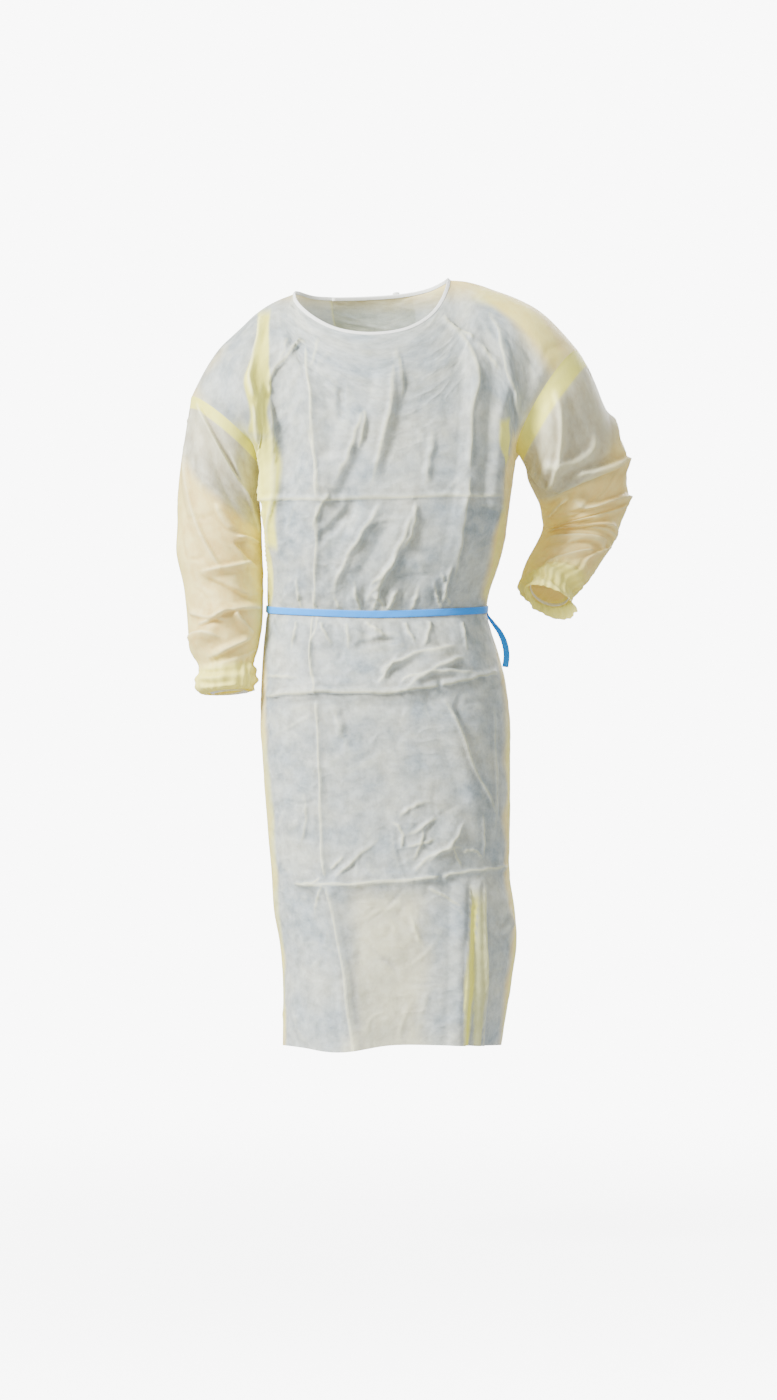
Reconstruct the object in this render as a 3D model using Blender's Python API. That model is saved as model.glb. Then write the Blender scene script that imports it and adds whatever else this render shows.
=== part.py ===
"""A thin yellow isolation gown, hollow, in the form it is worn in: the right sleeve hangs, and the left one is bent,
with its cuff towards the hip.

Metres, +Z up. The front faces -Y, so the wearer's right is at -X. The origin is the middle of the neck base,
where the shoulders carry the gown. Each cut piece is a thin wall: its outer face is worked out from the tables
below, and its inner face lies one wall thickness behind it.
"""

import bpy
import numpy as np

WALL = 0.0015  # thickness of the cloth
SEAM = 0.0002  # each piece stops this far short of its seam line
LAP_LIFT = 0.0024  # how far the upper back panel stands off the lower one

# Grid of the body: columns run up the cloth, and rows run round it
SHOULDER_COLUMNS = 10
FRONT_NECK_COLUMNS = 16
BACK_NECK_COLUMNS = 10
LAP_COLUMNS = 2  # each back panel passes the centre back by this many columns
ARMHOLE_ROWS = 10

HEM = -1.214
HEM_FRONT_RISE = 0.0135
HEM_DIP = {"depth": 0.011, "turn": -30, "width": 20}  # where the front hem hangs lowest, in degrees
TIE_HEIGHT = -0.529  # middle of the waist tie at the centre front
TIE_RISE = 0.011  # the tie climbs by this from front to side, and again from side to back
TIE_REACH = 0.08  # how far above and below the tie the rows climb with it
TIE_HOLD = 0.026  # the tie holds the cloth smooth within about this distance
UNDERARM_RIGHT = -0.2784
UNDERARM_LEFT = -0.2656
UNDERARM_DIP = 0.028  # beside the underarm the rows dip by this, so that they leave the armhole squarely
UNDERARM_DIP_REACH = 0.17  # the rows this far below it no longer dip


def table(names, rows):
    """The rows as one array for each named column."""
    return {name: np.array(column, float) for name, column in zip(names.split(), zip(*rows))}


# The body at each height: x of its right and left edges, depth in front of and behind the side seams, and how
# square its corners are (2 is an ellipse)
BODY = table(
    "height right left front back square",
    [
        (-0.262, -0.1760, 0.232, 0.132, 0.122, 2.7),
        (-0.310, -0.1740, 0.226, 0.138, 0.124, 2.9),
        (-0.342, -0.1720, 0.221, 0.138, 0.122, 3.0),
        (-0.406, -0.1690, 0.213, 0.134, 0.116, 2.9),
        (-0.454, -0.1670, 0.200, 0.127, 0.110, 2.7),
        (-0.486, -0.1670, 0.189, 0.120, 0.106, 2.5),
        (-0.529, -0.1680, 0.184, 0.113, 0.103, 2.4),
        (-0.566, -0.1720, 0.196, 0.122, 0.113, 2.4),
        (-0.614, -0.1760, 0.209, 0.132, 0.127, 2.5),
        (-0.662, -0.1780, 0.218, 0.136, 0.137, 2.5),
        (-0.740, -0.1760, 0.221, 0.137, 0.141, 2.5),
        (-0.822, -0.1700, 0.221, 0.138, 0.142, 2.5),
        (-0.918, -0.1630, 0.220, 0.140, 0.144, 2.5),
        (-0.974, -0.1570, 0.222, 0.142, 0.147, 2.5),
        (-1.022, -0.1550, 0.233, 0.144, 0.150, 2.5),
        (-1.050, -0.1470, 0.231, 0.145, 0.151, 2.5),
        (-1.118, -0.1425, 0.222, 0.147, 0.153, 2.6),
        (-1.214, -0.1425, 0.206, 0.150, 0.155, 2.6),
    ],
)

# Heights of the rows of the body below the underarm, at the centre front
ROW_HEIGHTS = (
    -1.214, -1.165, -1.110, -1.050, -1.000, -0.940, -0.880, -0.820, -0.750, -0.690, -0.640, -0.590,
    -0.556, -0.5385, -0.5195, -0.502, -0.465, -0.420, -0.370, -0.320, -0.272,
)

# Shoulder seams from tip to neck, on the right and on the left
SHOULDER_RIGHT = table(
    "x y z",
    [
        (-0.2896, 0.000, -0.179),
        (-0.2670, 0.002, -0.134),
        (-0.2460, 0.003, -0.102),
        (-0.2130, 0.004, -0.070),
        (-0.1780, 0.005, -0.038),
        (-0.1500, 0.006, -0.022),
        (-0.1264, 0.007, -0.013),
    ],
)
SHOULDER_LEFT = table(
    "x y z",
    [
        (0.3300, 0.000, -0.104),
        (0.3010, 0.002, -0.070),
        (0.2660, 0.003, -0.038),
        (0.2370, 0.004, -0.022),
        (0.1950, 0.005, -0.006),
        (0.1540, 0.006, 0.007),
        (0.1250, 0.007, 0.010),
    ],
)

# The neck seam as a closed loop: from the right shoulder round the front to the left, and back behind
NECK = table(
    "x y z",
    [
        (-0.1264, 0.007, -0.013),
        (-0.1235, -0.020, -0.028),
        (-0.1110, -0.045, -0.044),
        (-0.0890, -0.070, -0.0625),
        (-0.0550, -0.090, -0.0795),
        (0.0040, -0.100, -0.0875),
        (0.0580, -0.090, -0.0780),
        (0.0910, -0.069, -0.058),
        (0.1110, -0.044, -0.033),
        (0.1225, -0.018, -0.005),
        (0.1250, 0.007, 0.010),
        (0.1210, 0.030, 0.009),
        (0.1080, 0.050, 0.003),
        (0.0850, 0.067, -0.004),
        (0.0450, 0.080, -0.010),
        (0.0000, 0.085, -0.013),
        (-0.0450, 0.080, -0.015),
        (-0.0850, 0.067, -0.015),
        (-0.1080, 0.050, -0.012),
        (-0.1220, 0.030, -0.009),
    ],
)
NECK_LEFT_POINT = 10  # the row of NECK at the left shoulder; its first row is at the right shoulder

# Armholes: how deep the ring is in front and behind, and how far it is turned about its own long axis
ARMHOLE_RIGHT = {"depth": 0.096, "turn": np.radians(-6)}
ARMHOLE_LEFT = {"depth": 0.078, "turn": np.radians(-12)}

NECK_SIDE_CLIMB = 20  # degrees at which the cloth climbs to the neck at its sides, and at its middle
NECK_MIDDLE_CLIMB = 52
NECK_EASE_PASSES = 12
ARMHOLE_DRAW = 0.24  # the armhole shapes the panel over this share of its width

# Sleeves from armhole to cuff: outer and inner edge seen from the front, middle y and half depth
SLEEVE_RIGHT = table(
    "outer_x outer_z inner_x inner_z y depth",
    [
        (-0.2976, -0.2304, -0.1800, -0.3240, 0.002, 0.092),
        (-0.3072, -0.2944, -0.1775, -0.3744, 0.002, 0.087),
        (-0.3120, -0.3744, -0.1755, -0.4144, 0.000, 0.082),
        (-0.3120, -0.4304, -0.1740, -0.4510, -0.004, 0.078),
        (-0.2990, -0.4864, -0.1735, -0.4928, -0.010, 0.072),
        (-0.2944, -0.5376, -0.1750, -0.5376, -0.018, 0.064),
        (-0.2912, -0.5792, -0.1795, -0.5744, -0.026, 0.054),
        (-0.2752, -0.6096, -0.1860, -0.5984, -0.031, 0.041),
        (-0.2816, -0.6336, -0.1835, -0.6256, -0.034, 0.046),
        (-0.2750, -0.6496, -0.1870, -0.6430, -0.036, 0.042),
        (-0.2590, -0.6530, -0.1960, -0.6465, -0.037, 0.031),
    ],
)
SLEEVE_LEFT = table(
    "outer_x outer_z inner_x inner_z y depth",
    [
        (0.3504, -0.1376, 0.2450, -0.2880, 0.005, 0.078),
        (0.3712, -0.1872, 0.2510, -0.3104, 0.016, 0.078),
        (0.3920, -0.2256, 0.2602, -0.3300, 0.032, 0.076),
        (0.4102, -0.2680, 0.2706, -0.3480, 0.048, 0.073),
        (0.4090, -0.3040, 0.2734, -0.3640, 0.060, 0.071),
        (0.4150, -0.3400, 0.2758, -0.3800, 0.066, 0.069),
        (0.4026, -0.3760, 0.2720, -0.3955, 0.066, 0.066),
        (0.3904, -0.4080, 0.2640, -0.4112, 0.060, 0.063),
        (0.3712, -0.4384, 0.2480, -0.4400, 0.042, 0.057),
        (0.3504, -0.4672, 0.2416, -0.4608, 0.020, 0.050),
        (0.3328, -0.4864, 0.2400, -0.4720, 0.000, 0.044),
        (0.3184, -0.4992, 0.2496, -0.4784, -0.012, 0.034),
        (0.3220, -0.5210, 0.2432, -0.4900, -0.022, 0.041),
    ],
)
SLEEVE_ROWS = 15  # from the armhole to where the gathers start
CUFF_ROWS = 6
CUFF_GATHERS = 20
GATHER_DEPTH = 0.0022
RIGHT_GATHERS_START = 0.66  # share of the way down the stations
LEFT_GATHERS_START = 0.74

# Folds of the front, drawn where they show from the front: up to four points (x, z), the half width, the height
# (negative for a trough), how much steeper the left side is, and the share of the length over which each end fades
FRONT_FOLDS = table(
    "x1 z1 x2 z2 x3 z3 x4 z4 width height steep fade_top fade_foot",
    [
        (-0.178, -0.070, -0.198, -0.180, -0.200, -0.340, -0.182, -0.480, 0.038, 0.027, -0.2, 0.40, 0.35),
        (-0.125, -0.120, -0.150, -0.180, -0.150, -0.300, -0.146, -0.440, 0.028, -0.010, 0.0, 0.3, 0.4),
        (-0.104, -0.110, -0.096, -0.230, -0.090, -0.380, -0.092, -0.500, 0.026, 0.008, 0.0, 0.2, 0.2),
        (0.135, -0.075, 0.168, -0.130, 0.165, -0.300, 0.130, -0.490, 0.030, 0.011, 0.2, 0.2, 0.3),
        (0.190, -0.040, 0.212, -0.130, 0.226, -0.250, 0.212, -0.430, 0.034, 0.018, 0.2, 0.25, 0.35),
        (0.238, -0.070, 0.244, -0.160, 0.240, -0.210, 0.232, -0.250, 0.028, -0.012, 0.0, 0.4, 0.3),
        (0.040, -0.120, 0.028, -0.190, 0.004, -0.290, -0.010, -0.340, 0.028, 0.010, -0.2, 0.2, 0.4),
        (-0.013, -0.195, -0.035, -0.265, -0.070, -0.330, -0.092, -0.400, 0.028, 0.011, -0.2, 0.2, 0.4),
        (0.075, -0.340, 0.040, -0.420, 0.000, -0.480, -0.020, -0.510, 0.028, 0.008, 0.0, 0.3, 0.3),
        (0.015, -0.350, -0.020, -0.410, -0.050, -0.470, -0.075, -0.505, 0.028, 0.008, 0.0, 0.3, 0.3),
        (0.160, -0.590, 0.110, -0.605, 0.060, -0.640, 0.030, -0.655, 0.030, 0.008, 0.0, 0.3, 0.3),
        (-0.165, -0.652, -0.080, -0.648, 0.060, -0.650, 0.200, -0.616, 0.024, 0.006, 0.0, 0.15, 0.15),
        (0.105, -0.655, 0.140, -0.720, 0.180, -0.820, 0.208, -0.870, 0.026, 0.007, 0.0, 0.3, 0.3),
        (0.150, -0.840, 0.125, -0.895, 0.095, -0.925, 0.080, -0.960, 0.028, 0.008, 0.0, 0.3, 0.3),
        (-0.130, -0.955, -0.050, -0.952, 0.030, -0.950, 0.140, -0.936, 0.026, 0.005, 0.0, 0.2, 0.2),
        (-0.078, -0.935, -0.062, -1.020, -0.043, -1.110, -0.028, -1.230, 0.030, 0.011, 0.2, 0.2, 0.0),
        (0.156, -0.935, 0.151, -1.030, 0.149, -1.120, 0.148, -1.230, 0.021, 0.012, -0.2, 0.12, 0.0),
        (0.188, -0.930, 0.186, -1.030, 0.188, -1.120, 0.190, -1.230, 0.021, 0.010, 0.2, 0.12, 0.0),
        (0.060, -0.990, 0.060, -1.060, 0.055, -1.140, 0.055, -1.230, 0.060, -0.007, 0.0, 0.5, 0.0),
        (-0.115, -1.000, -0.105, -1.060, -0.095, -1.140, -0.090, -1.230, 0.040, 0.005, 0.0, 0.5, 0.0),
    ],
)

# Folds of the back, in the same form, drawn in the same x and z
BACK_FOLDS = table(
    "x1 z1 x2 z2 x3 z3 x4 z4 width height steep fade_top fade_foot",
    [
        (-0.175, -0.060, -0.176, -0.170, -0.165, -0.320, -0.145, -0.470, 0.036, 0.014, -0.4, 0.3, 0.35),
        (0.195, -0.035, 0.205, -0.150, 0.198, -0.320, 0.165, -0.470, 0.036, 0.014, 0.4, 0.3, 0.35),
        (-0.090, -0.070, -0.100, -0.200, -0.095, -0.350, -0.070, -0.500, 0.030, 0.007, 0.0, 0.3, 0.3),
        (0.110, -0.060, 0.120, -0.200, 0.120, -0.350, 0.095, -0.500, 0.030, 0.007, 0.0, 0.3, 0.3),
        (-0.110, -0.550, -0.115, -0.700, -0.110, -0.950, -0.095, -1.230, 0.040, 0.011, 0.0, 0.3, 0.0),
        (0.120, -0.550, 0.130, -0.700, 0.150, -0.950, 0.150, -1.230, 0.040, 0.011, 0.0, 0.3, 0.0),
        (-0.050, -0.600, -0.050, -0.800, -0.045, -1.000, -0.040, -1.230, 0.035, -0.008, 0.0, 0.4, 0.0),
        (0.075, -0.620, 0.085, -0.800, 0.095, -1.000, 0.095, -1.230, 0.035, -0.008, 0.0, 0.4, 0.0),
    ],
)

# Gathers along the waist tie: turn in degrees from the centre front, half width in degrees, height
WAIST_GATHERS = table(
    "turn width height",
    [
        (-58, 7, 0.004), (-38, 6, 0.005), (-17, 6, 0.005), (-2, 6, 0.004), (12, 6, 0.005), (33, 6, 0.004),
        (55, 8, 0.004), (112, 8, 0.005), (135, 8, 0.005), (157, 7, 0.004), (203, 7, 0.004), (226, 8, 0.005),
        (250, 8, 0.005),
    ],
)
SIDE_UNROLL = 0.8  # each step back round the side of the body counts as this much of a step across
SIDE_UNROLL_TOP = -0.15
GATHER_NEAR = 0.022  # the gathers are highest this far above and below the tie
GATHER_SPREAD = 0.028

# Folds of the sleeves: start and end as distance down the sleeve and angle round it (0 outside, 90 in front,
# 180 inside, 270 behind), the half width and the height
RIGHT_SLEEVE_FOLDS = table(
    "down1 round1 down2 round2 width height",
    [
        (0.010, 30, 0.230, 150, 0.022, 0.009),
        (0.190, 140, 0.240, 185, 0.018, 0.007),
        (0.245, 110, 0.290, 190, 0.018, -0.007),
        (0.300, 60, 0.330, 150, 0.022, 0.006),
        (0.350, 20, 0.335, 90, 0.016, 0.006),
        (0.385, 60, 0.360, 160, 0.018, 0.006),
        (0.050, 200, 0.230, 250, 0.026, 0.008),
        (0.240, 210, 0.280, 320, 0.024, 0.007),
        (0.320, 220, 0.350, 330, 0.022, 0.006),
    ],
)
LEFT_SLEEVE_FOLDS = table(
    "down1 round1 down2 round2 width height",
    [
        (0.005, 70, 0.090, 150, 0.026, 0.010),
        (0.105, 150, 0.140, 60, 0.022, -0.005),
        (0.155, 0, 0.195, 130, 0.026, 0.009),
        (0.205, 10, 0.205, 120, 0.020, 0.005),
        (0.238, 20, 0.236, 150, 0.024, 0.008),
        (0.280, 30, 0.262, 150, 0.022, 0.006),
        (0.315, 30, 0.300, 150, 0.020, 0.004),
        (0.150, 300, 0.170, 220, 0.028, 0.007),
        (0.235, 310, 0.245, 210, 0.028, 0.007),
    ],
)
SLEEVE_RADIUS = 0.065  # turns an angle round a sleeve into a distance

# The tie's knot and its two ends at the left hip. The free end hangs from the knot, as steps from the knot's face.
KNOT_COLUMN = 3  # columns of the back from its left side seam
SIDE_TAIL = table(
    "x y z",
    [
        (0.0000, 0.0000, 0.0030),
        (0.0000, 0.0000, -0.0070),
        (0.0100, 0.0020, -0.0220),
        (0.0220, 0.0040, -0.0380),
        (0.0300, 0.0050, -0.0560),
        (0.0330, 0.0055, -0.0750),
        (0.0310, 0.0055, -0.0940),
    ],
)
BACK_TAIL_COLUMN = 3.7
BACK_TAIL_ROWS = 3.4

# Trims
BINDING_WIDTH = 0.006
BINDING_PROUD = 0.0003  # the binding stands this far beyond both faces of the cloth
TIE_WIDTH = 0.0125
TIE_THICK = 0.0012
TIE_CLEAR = 0.0006  # from the tie to the cloth under it
ELASTIC_WIDTH = 0.007
ELASTIC_THICK = 0.0012
ELASTIC = {  # the row of the sleeve at the middle of its elastic, and how clear of the gathers the elastic is
    "sleeve_right": {"row": -1, "clear": -0.0003},
    "sleeve_left": {"row": -3, "clear": 0.0005},
}
# The bent sleeve is two solids, so that its collision can follow the bend. They part at this row, by the elbow.
SLEEVE_PARTED = {"sleeve_left": 8}
KNOT_SIZE = (0.017, 0.010, 0.015)
NECK_KNOT_SIZE = (0.012, 0.007, 0.011)
TAIL_WIDTH = 0.006

COLOURS = {  # colour, roughness
    "cloth": ((0.86, 0.86, 0.68), 0.75),
    "binding": ((0.90, 0.90, 0.84), 0.7),
    "elastic": ((0.92, 0.92, 0.90), 0.7),
    "tie": ((0.25, 0.58, 0.86), 0.6),
}


def unit(vectors):
    return vectors / np.maximum(np.linalg.norm(vectors, axis=-1, keepdims=True), 1e-12)


def spline(keys, values, at):
    """A smooth curve through values at keys, read at the given places."""
    keys, values, at = np.asarray(keys, float), np.asarray(values, float), np.asarray(at, float)
    if keys[0] > keys[-1]:
        keys, values = keys[::-1], values[::-1]
    slopes = np.gradient(values, keys)
    i = np.clip(np.searchsorted(keys, at) - 1, 0, len(keys) - 2)
    step = keys[i + 1] - keys[i]
    t = np.clip((at - keys[i]) / step, 0, 1)
    return (
        values[i] * (1 + 2 * t) * (1 - t) ** 2
        + slopes[i] * step * t * (1 - t) ** 2
        + values[i + 1] * t**2 * (3 - 2 * t)
        + slopes[i + 1] * step * t**2 * (t - 1)
    )


def seam_points(seam, count):
    """Points evenly spaced along a seam's table, both ends included."""
    corners = np.stack([seam["x"], seam["y"], seam["z"]], axis=1)
    along = np.concatenate([[0], np.cumsum(np.linalg.norm(np.diff(corners, axis=0), axis=1))])
    at = np.linspace(0, along[-1], count + 1)
    return np.stack([spline(along, corners[:, k], at) for k in range(3)], axis=1)


def neck_points(side, count):
    """Points evenly spaced along the front half (side -1) or the back half (side 1) of the neck seam."""
    corners = np.stack([NECK["x"], NECK["y"], NECK["z"]], axis=1)
    total = len(corners)
    corners = np.concatenate([corners[-3:], corners, corners[:4]])
    along = np.concatenate([[0], np.cumsum(np.linalg.norm(np.diff(corners, axis=0), axis=1))])
    first, last = (3, 3 + NECK_LEFT_POINT) if side < 0 else (3 + NECK_LEFT_POINT, 3 + total)
    at = np.linspace(along[first], along[last], count + 1)
    return np.stack([spline(along, corners[:, k], at) for k in range(3)], axis=1)


def smooth(t):
    t = np.clip(t, 0, 1)
    return t * t * (3 - 2 * t)


def section(height, turn):
    """The point of the body at a height and a turn from the centre front, towards the wearer's left."""
    right, left, front, back, square = (spline(BODY["height"], BODY[k], height) for k in list(BODY)[1:])
    half = (left - right) / 2
    deep = np.where(np.cos(turn) > 0, front, back)
    reach = (np.abs(np.sin(turn) / half) ** square + np.abs(np.cos(turn) / deep) ** square) ** (-1 / square)
    return np.stack([(left + right) / 2 + reach * np.sin(turn), -reach * np.cos(turn), height + 0 * turn], axis=-1)


def even_turns(height, start, end, count):
    """Turns from start to end that step evenly along the cloth at this height."""
    turns = np.linspace(start, end, 241)
    points = section(np.full(turns.shape, height), turns)
    along = np.concatenate([[0], np.cumsum(np.linalg.norm(np.diff(points, axis=0), axis=1))])
    return np.interp(np.linspace(0, along[-1], count + 1), along, turns)


def tie_height(turn):
    return TIE_HEIGHT + TIE_RISE * (1 - np.cos(turn))


def lower_row(height, start, end, count):
    """One row of the body below the underarm, over the turns from start to end."""
    turns = even_turns(height, start, end, count)
    lean = smooth((height - TIE_HEIGHT) / (ROW_HEIGHTS[-1] - TIE_HEIGHT))
    underarm = (UNDERARM_LEFT + UNDERARM_RIGHT) / 2 + np.sin(turns) * (UNDERARM_LEFT - UNDERARM_RIGHT) / 2
    heights = height + lean * (underarm - ROW_HEIGHTS[-1])
    heights = heights + (tie_height(turns) - TIE_HEIGHT) * np.exp(-(((height - TIE_HEIGHT) / TIE_REACH) ** 2))
    aside = np.minimum(np.arange(count + 1), count - np.arange(count + 1))
    dip = smooth(aside / 2) * (1 - smooth((aside - 2) / 7))
    heights = heights - UNDERARM_DIP * dip * smooth(1 - (ROW_HEIGHTS[-1] - height) / UNDERARM_DIP_REACH)
    rise = HEM_FRONT_RISE * np.maximum(np.cos(turns), 0)
    rise -= HEM_DIP["depth"] * np.exp(-(((np.degrees(turns) - HEM_DIP["turn"]) / HEM_DIP["width"]) ** 2))
    heights = heights + rise * smooth((TIE_HEIGHT - height) / (TIE_HEIGHT - HEM))
    return section(heights, turns), turns


def armhole(under, tip, ring, side, shares):
    """Half of an armhole, from the underarm to the shoulder tip. side is -1 for the front half and 1 for the back."""
    middle, arm = (under + tip) / 2, (tip - under) / 2
    outwards = unit(np.cross(arm, [0, 1, 0]))
    outwards = outwards * np.sign(outwards[0]) * np.sign(tip[0])
    forward = np.cos(ring["turn"]) * np.array([0, -1, 0]) + np.sin(ring["turn"]) * outwards
    shares = np.asarray(shares)[:, None]
    return middle - arm * np.cos(np.pi * shares) - side * forward * ring["depth"] * np.sin(np.pi * shares)


def upper_patch(bottom, top, side, neck_columns):
    """Rows of the body from the underarm row to the shoulder seams and neck. side is -1 in front and 1 behind."""
    last = len(bottom) - 1
    columns = np.linspace(0, 1, last + 1)[:, None]
    rise, draw = top[:, 2:] - bottom[:, 2:], np.abs(top[:, 1:2] - bottom[:, 1:2])
    inside_neck = neck_columns / 2 - np.abs(columns * last - last / 2)
    neck = smooth((inside_neck + 2) / 4)
    middle = np.clip(2 * inside_neck / neck_columns, 0, 1)
    climb = np.radians(NECK_SIDE_CLIMB * neck + (NECK_MIDDLE_CLIMB - NECK_SIDE_CLIMB) * middle)
    level = (1 - neck) * [0, -side, 0] + neck * unit(-top * [1, 1, 0])
    leave = np.concatenate([0 * rise, 0 * rise, 1.9 * rise], axis=1)
    arrive = (1.55 * draw + 0.5 * rise * middle) * (unit(level) * np.cos(climb) + [0, 0, 1] * np.sin(climb))
    rings = (ARMHOLE_RIGHT, ARMHOLE_LEFT) if side < 0 else (ARMHOLE_LEFT, ARMHOLE_RIGHT)
    rows = []
    for t in np.linspace(0, 1, ARMHOLE_ROWS + 1)[1:]:
        row = (
            bottom * (1 + 2 * t) * (1 - t) ** 2
            + leave * t * (1 - t) ** 2
            + top * t**2 * (3 - 2 * t)
            + arrive * t**2 * (t - 1)
        )
        for edge, away, ring in ((0, columns, rings[0]), (-1, 1 - columns, rings[1])):
            on_ring = armhole(bottom[edge], top[edge], ring, side, [t])[0]
            row = row + (1 - smooth(away / ARMHOLE_DRAW)) * (on_ring - row[edge])
        rows.append(row)
    return rows


def ease_neck_corners(grid, low, neck_columns):
    """Evens out the cloth round the two ends of the neck seam, above the underarm row, and leaves the edges."""
    last = grid.shape[1] - 1
    columns, climb = np.arange(last + 1), np.linspace(0, 1, len(grid) - low)
    off = np.minimum(np.abs(columns - (last - neck_columns) / 2), np.abs(columns - (last + neck_columns) / 2))
    weight = (0.5 * smooth(2 * climb - 0.6))[:, None] * np.exp(-((off / 4) ** 2))
    weight[-1] = weight[:, 0] = weight[:, -1] = 0
    patch = grid[low:].copy()
    for _ in range(NECK_EASE_PASSES):
        mean = patch.copy()
        mean[1:-1, 1:-1] = (patch[2:, 1:-1] + patch[:-2, 1:-1] + patch[1:-1, 2:] + patch[1:-1, :-2]) / 4
        patch += weight[..., None] * (mean - patch)
    return np.concatenate([grid[:low], patch])


def far_and_aside(across, up, corners):
    """How far along a path of corners each point is, from 0 to 1, and its signed distance from the path."""
    lengths = np.linalg.norm(np.diff(corners, axis=0), axis=1)
    starts = np.concatenate([[0], np.cumsum(lengths)])
    best, along, aside = np.full(across.shape, 1e9), np.zeros(across.shape), np.zeros(across.shape)
    for (x1, z1), (x2, z2), length, start in zip(corners[:-1], corners[1:], lengths, starts):
        dx, dz = (x2 - x1) / length, (z2 - z1) / length
        t = np.clip((across - x1) * dx + (up - z1) * dz, 0, length)
        off_x, off_z = across - x1 - t * dx, up - z1 - t * dz
        distance = np.hypot(off_x, off_z)
        nearer = distance < best
        best = np.where(nearer, distance, best)
        along = np.where(nearer, (start + t) / starts[-1], along)
        aside = np.where(nearer, distance * np.sign(off_z * dx - off_x * dz), aside)
    return along, aside


def fade(along, first, last):
    """1 along the middle of a fold, falling to 0 over the given shares at its two ends."""
    return smooth(along / max(first, 1e-6)) * smooth((1 - along) / max(last, 1e-6))


def body_folds(points, folds, side):
    """The height of all folds of a panel at its points. Below the underarm, x runs on round the sides of the body."""
    x, z = points[..., 0], points[..., 2]
    depth = spline(BODY["height"], BODY["front" if side < 0 else "back"], z)
    behind = np.maximum(depth + side * -points[..., 1], 0)
    x = x + np.sign(x) * SIDE_UNROLL * behind * smooth((SIDE_UNROLL_TOP - z) / 0.12)
    total = np.zeros(x.shape)
    for row in zip(*folds.values()):
        corners = np.array(row[:8]).reshape(4, 2)
        width, height, steep, top, foot = row[8:]
        along, aside = far_and_aside(x, z, corners)
        share = np.abs(aside) / (width * (1 + np.sign(aside) * steep))
        total += height * fade(along, top, foot) * np.clip(1 - share**2, 0, 1) ** 1.5
    return total


def waist_gathers(height, turns):
    """The small gathers above and below the waist tie."""
    away = np.abs(height - tie_height(turns))
    near = np.exp(-(((away - GATHER_NEAR) / GATHER_SPREAD) ** 2))
    total = np.zeros(np.shape(turns))
    for turn, width, bulge in zip(*WAIST_GATHERS.values()):
        off = (np.degrees(turns) - turn + 180) % 360 - 180
        total += bulge * np.clip(1 - (off / width) ** 2, 0, 1)
    return total * near


def normals_of(grid, round_it=False):
    """Unit normals of a grid of points, evened out so that the inner face of a wall doesn't cross itself."""
    if round_it:
        around = np.roll(grid, -1, axis=1) - np.roll(grid, 1, axis=1)
    else:
        around = np.gradient(grid, axis=1)
    normals = unit(np.cross(around, np.gradient(grid, axis=0)))
    for _ in range(2):
        sides = np.pad(normals, ((1, 1), (0, 0), (0, 0)), mode="edge")
        normals = normals + 0.5 * (sides[2:] + sides[:-2])
        sides = np.pad(normals, ((0, 0), (1, 1), (0, 0)), mode="wrap" if round_it else "edge")
        normals = unit(normals + 0.5 * (sides[:, 2:] + sides[:, :-2]))
    return normals


def body_half(side):
    """The front (side -1) or the whole back (side 1) as rows of outer points, hem first. The columns run from the
    wearer's right to left in front, and from left to right behind."""
    neck_columns = FRONT_NECK_COLUMNS if side < 0 else BACK_NECK_COLUMNS
    count = 2 * SHOULDER_COLUMNS + neck_columns
    start = -np.pi / 2 if side < 0 else np.pi / 2
    rows, turns = zip(*(lower_row(h, start, start + np.pi, count) for h in ROW_HEIGHTS))
    ends = (SHOULDER_RIGHT, SHOULDER_LEFT) if side < 0 else (SHOULDER_LEFT, SHOULDER_RIGHT)
    first, last = (seam_points(seam, SHOULDER_COLUMNS) for seam in ends)
    top = np.concatenate([first[:-1], neck_points(side, neck_columns), last[::-1][1:]])
    upper = upper_patch(rows[-1], top, side, neck_columns)
    grid = ease_neck_corners(np.array([*rows, *upper]), len(rows) - 1, neck_columns)
    turns = np.array([*turns, *[turns[-1]] * len(upper)])
    bulge = body_folds(grid, FRONT_FOLDS if side < 0 else BACK_FOLDS, side)
    bulge += waist_gathers(grid[..., 2], turns)
    bulge *= 1 - np.exp(-(((grid[..., 2] - tie_height(turns)) / TIE_HOLD) ** 4))
    columns = np.arange(count + 1)
    seam_row = np.ones(len(grid))
    seam_row[-4:] = (0.85, 0.55, 0.2, 0)
    bulge *= smooth(np.minimum(columns, count - columns) / 3)[None, :] * seam_row[:, None]
    return grid + normals_of(grid) * bulge[..., None]


def sleeve_stations(sleeve, ring_under, ring_tip, ring, down):
    """Middle, half width vector and half depth vector of the sleeve at shares of the way down."""
    outer = np.stack([sleeve["outer_x"], 0 * sleeve["y"], sleeve["outer_z"]], axis=1)
    inner = np.stack([sleeve["inner_x"], 0 * sleeve["y"], sleeve["inner_z"]], axis=1)
    outer, inner = np.vstack([ring_tip, outer]), np.vstack([ring_under, inner])
    middle = (outer + inner) / 2
    middle[:, 1] = np.concatenate([[(ring_tip[1] + ring_under[1]) / 2], sleeve["y"]])
    wide = (outer - inner) / 2
    wide[:, 1] = 0
    depth = np.concatenate([[ring["depth"]], sleeve["depth"]])
    keys = np.linspace(0, 1, len(middle))
    middle, wide = (np.stack([spline(keys, v[:, k], down) for k in range(3)], axis=1) for v in (middle, wide))
    depth = spline(keys, depth, down)
    run = unit(np.gradient(middle, axis=0))
    forward = np.array([0.0, -1.0, 0.0])
    deep = unit(forward - run * (run @ forward)[:, None])
    front_of_ring = armhole(ring_under, ring_tip, ring, -1, [0.5])[0] - (ring_tip + ring_under) / 2
    start = (1 - smooth(down / 0.15))[:, None]
    deep = unit(deep * (1 - start) + unit(front_of_ring) * start)
    return middle, wide, deep * depth[:, None]


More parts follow.
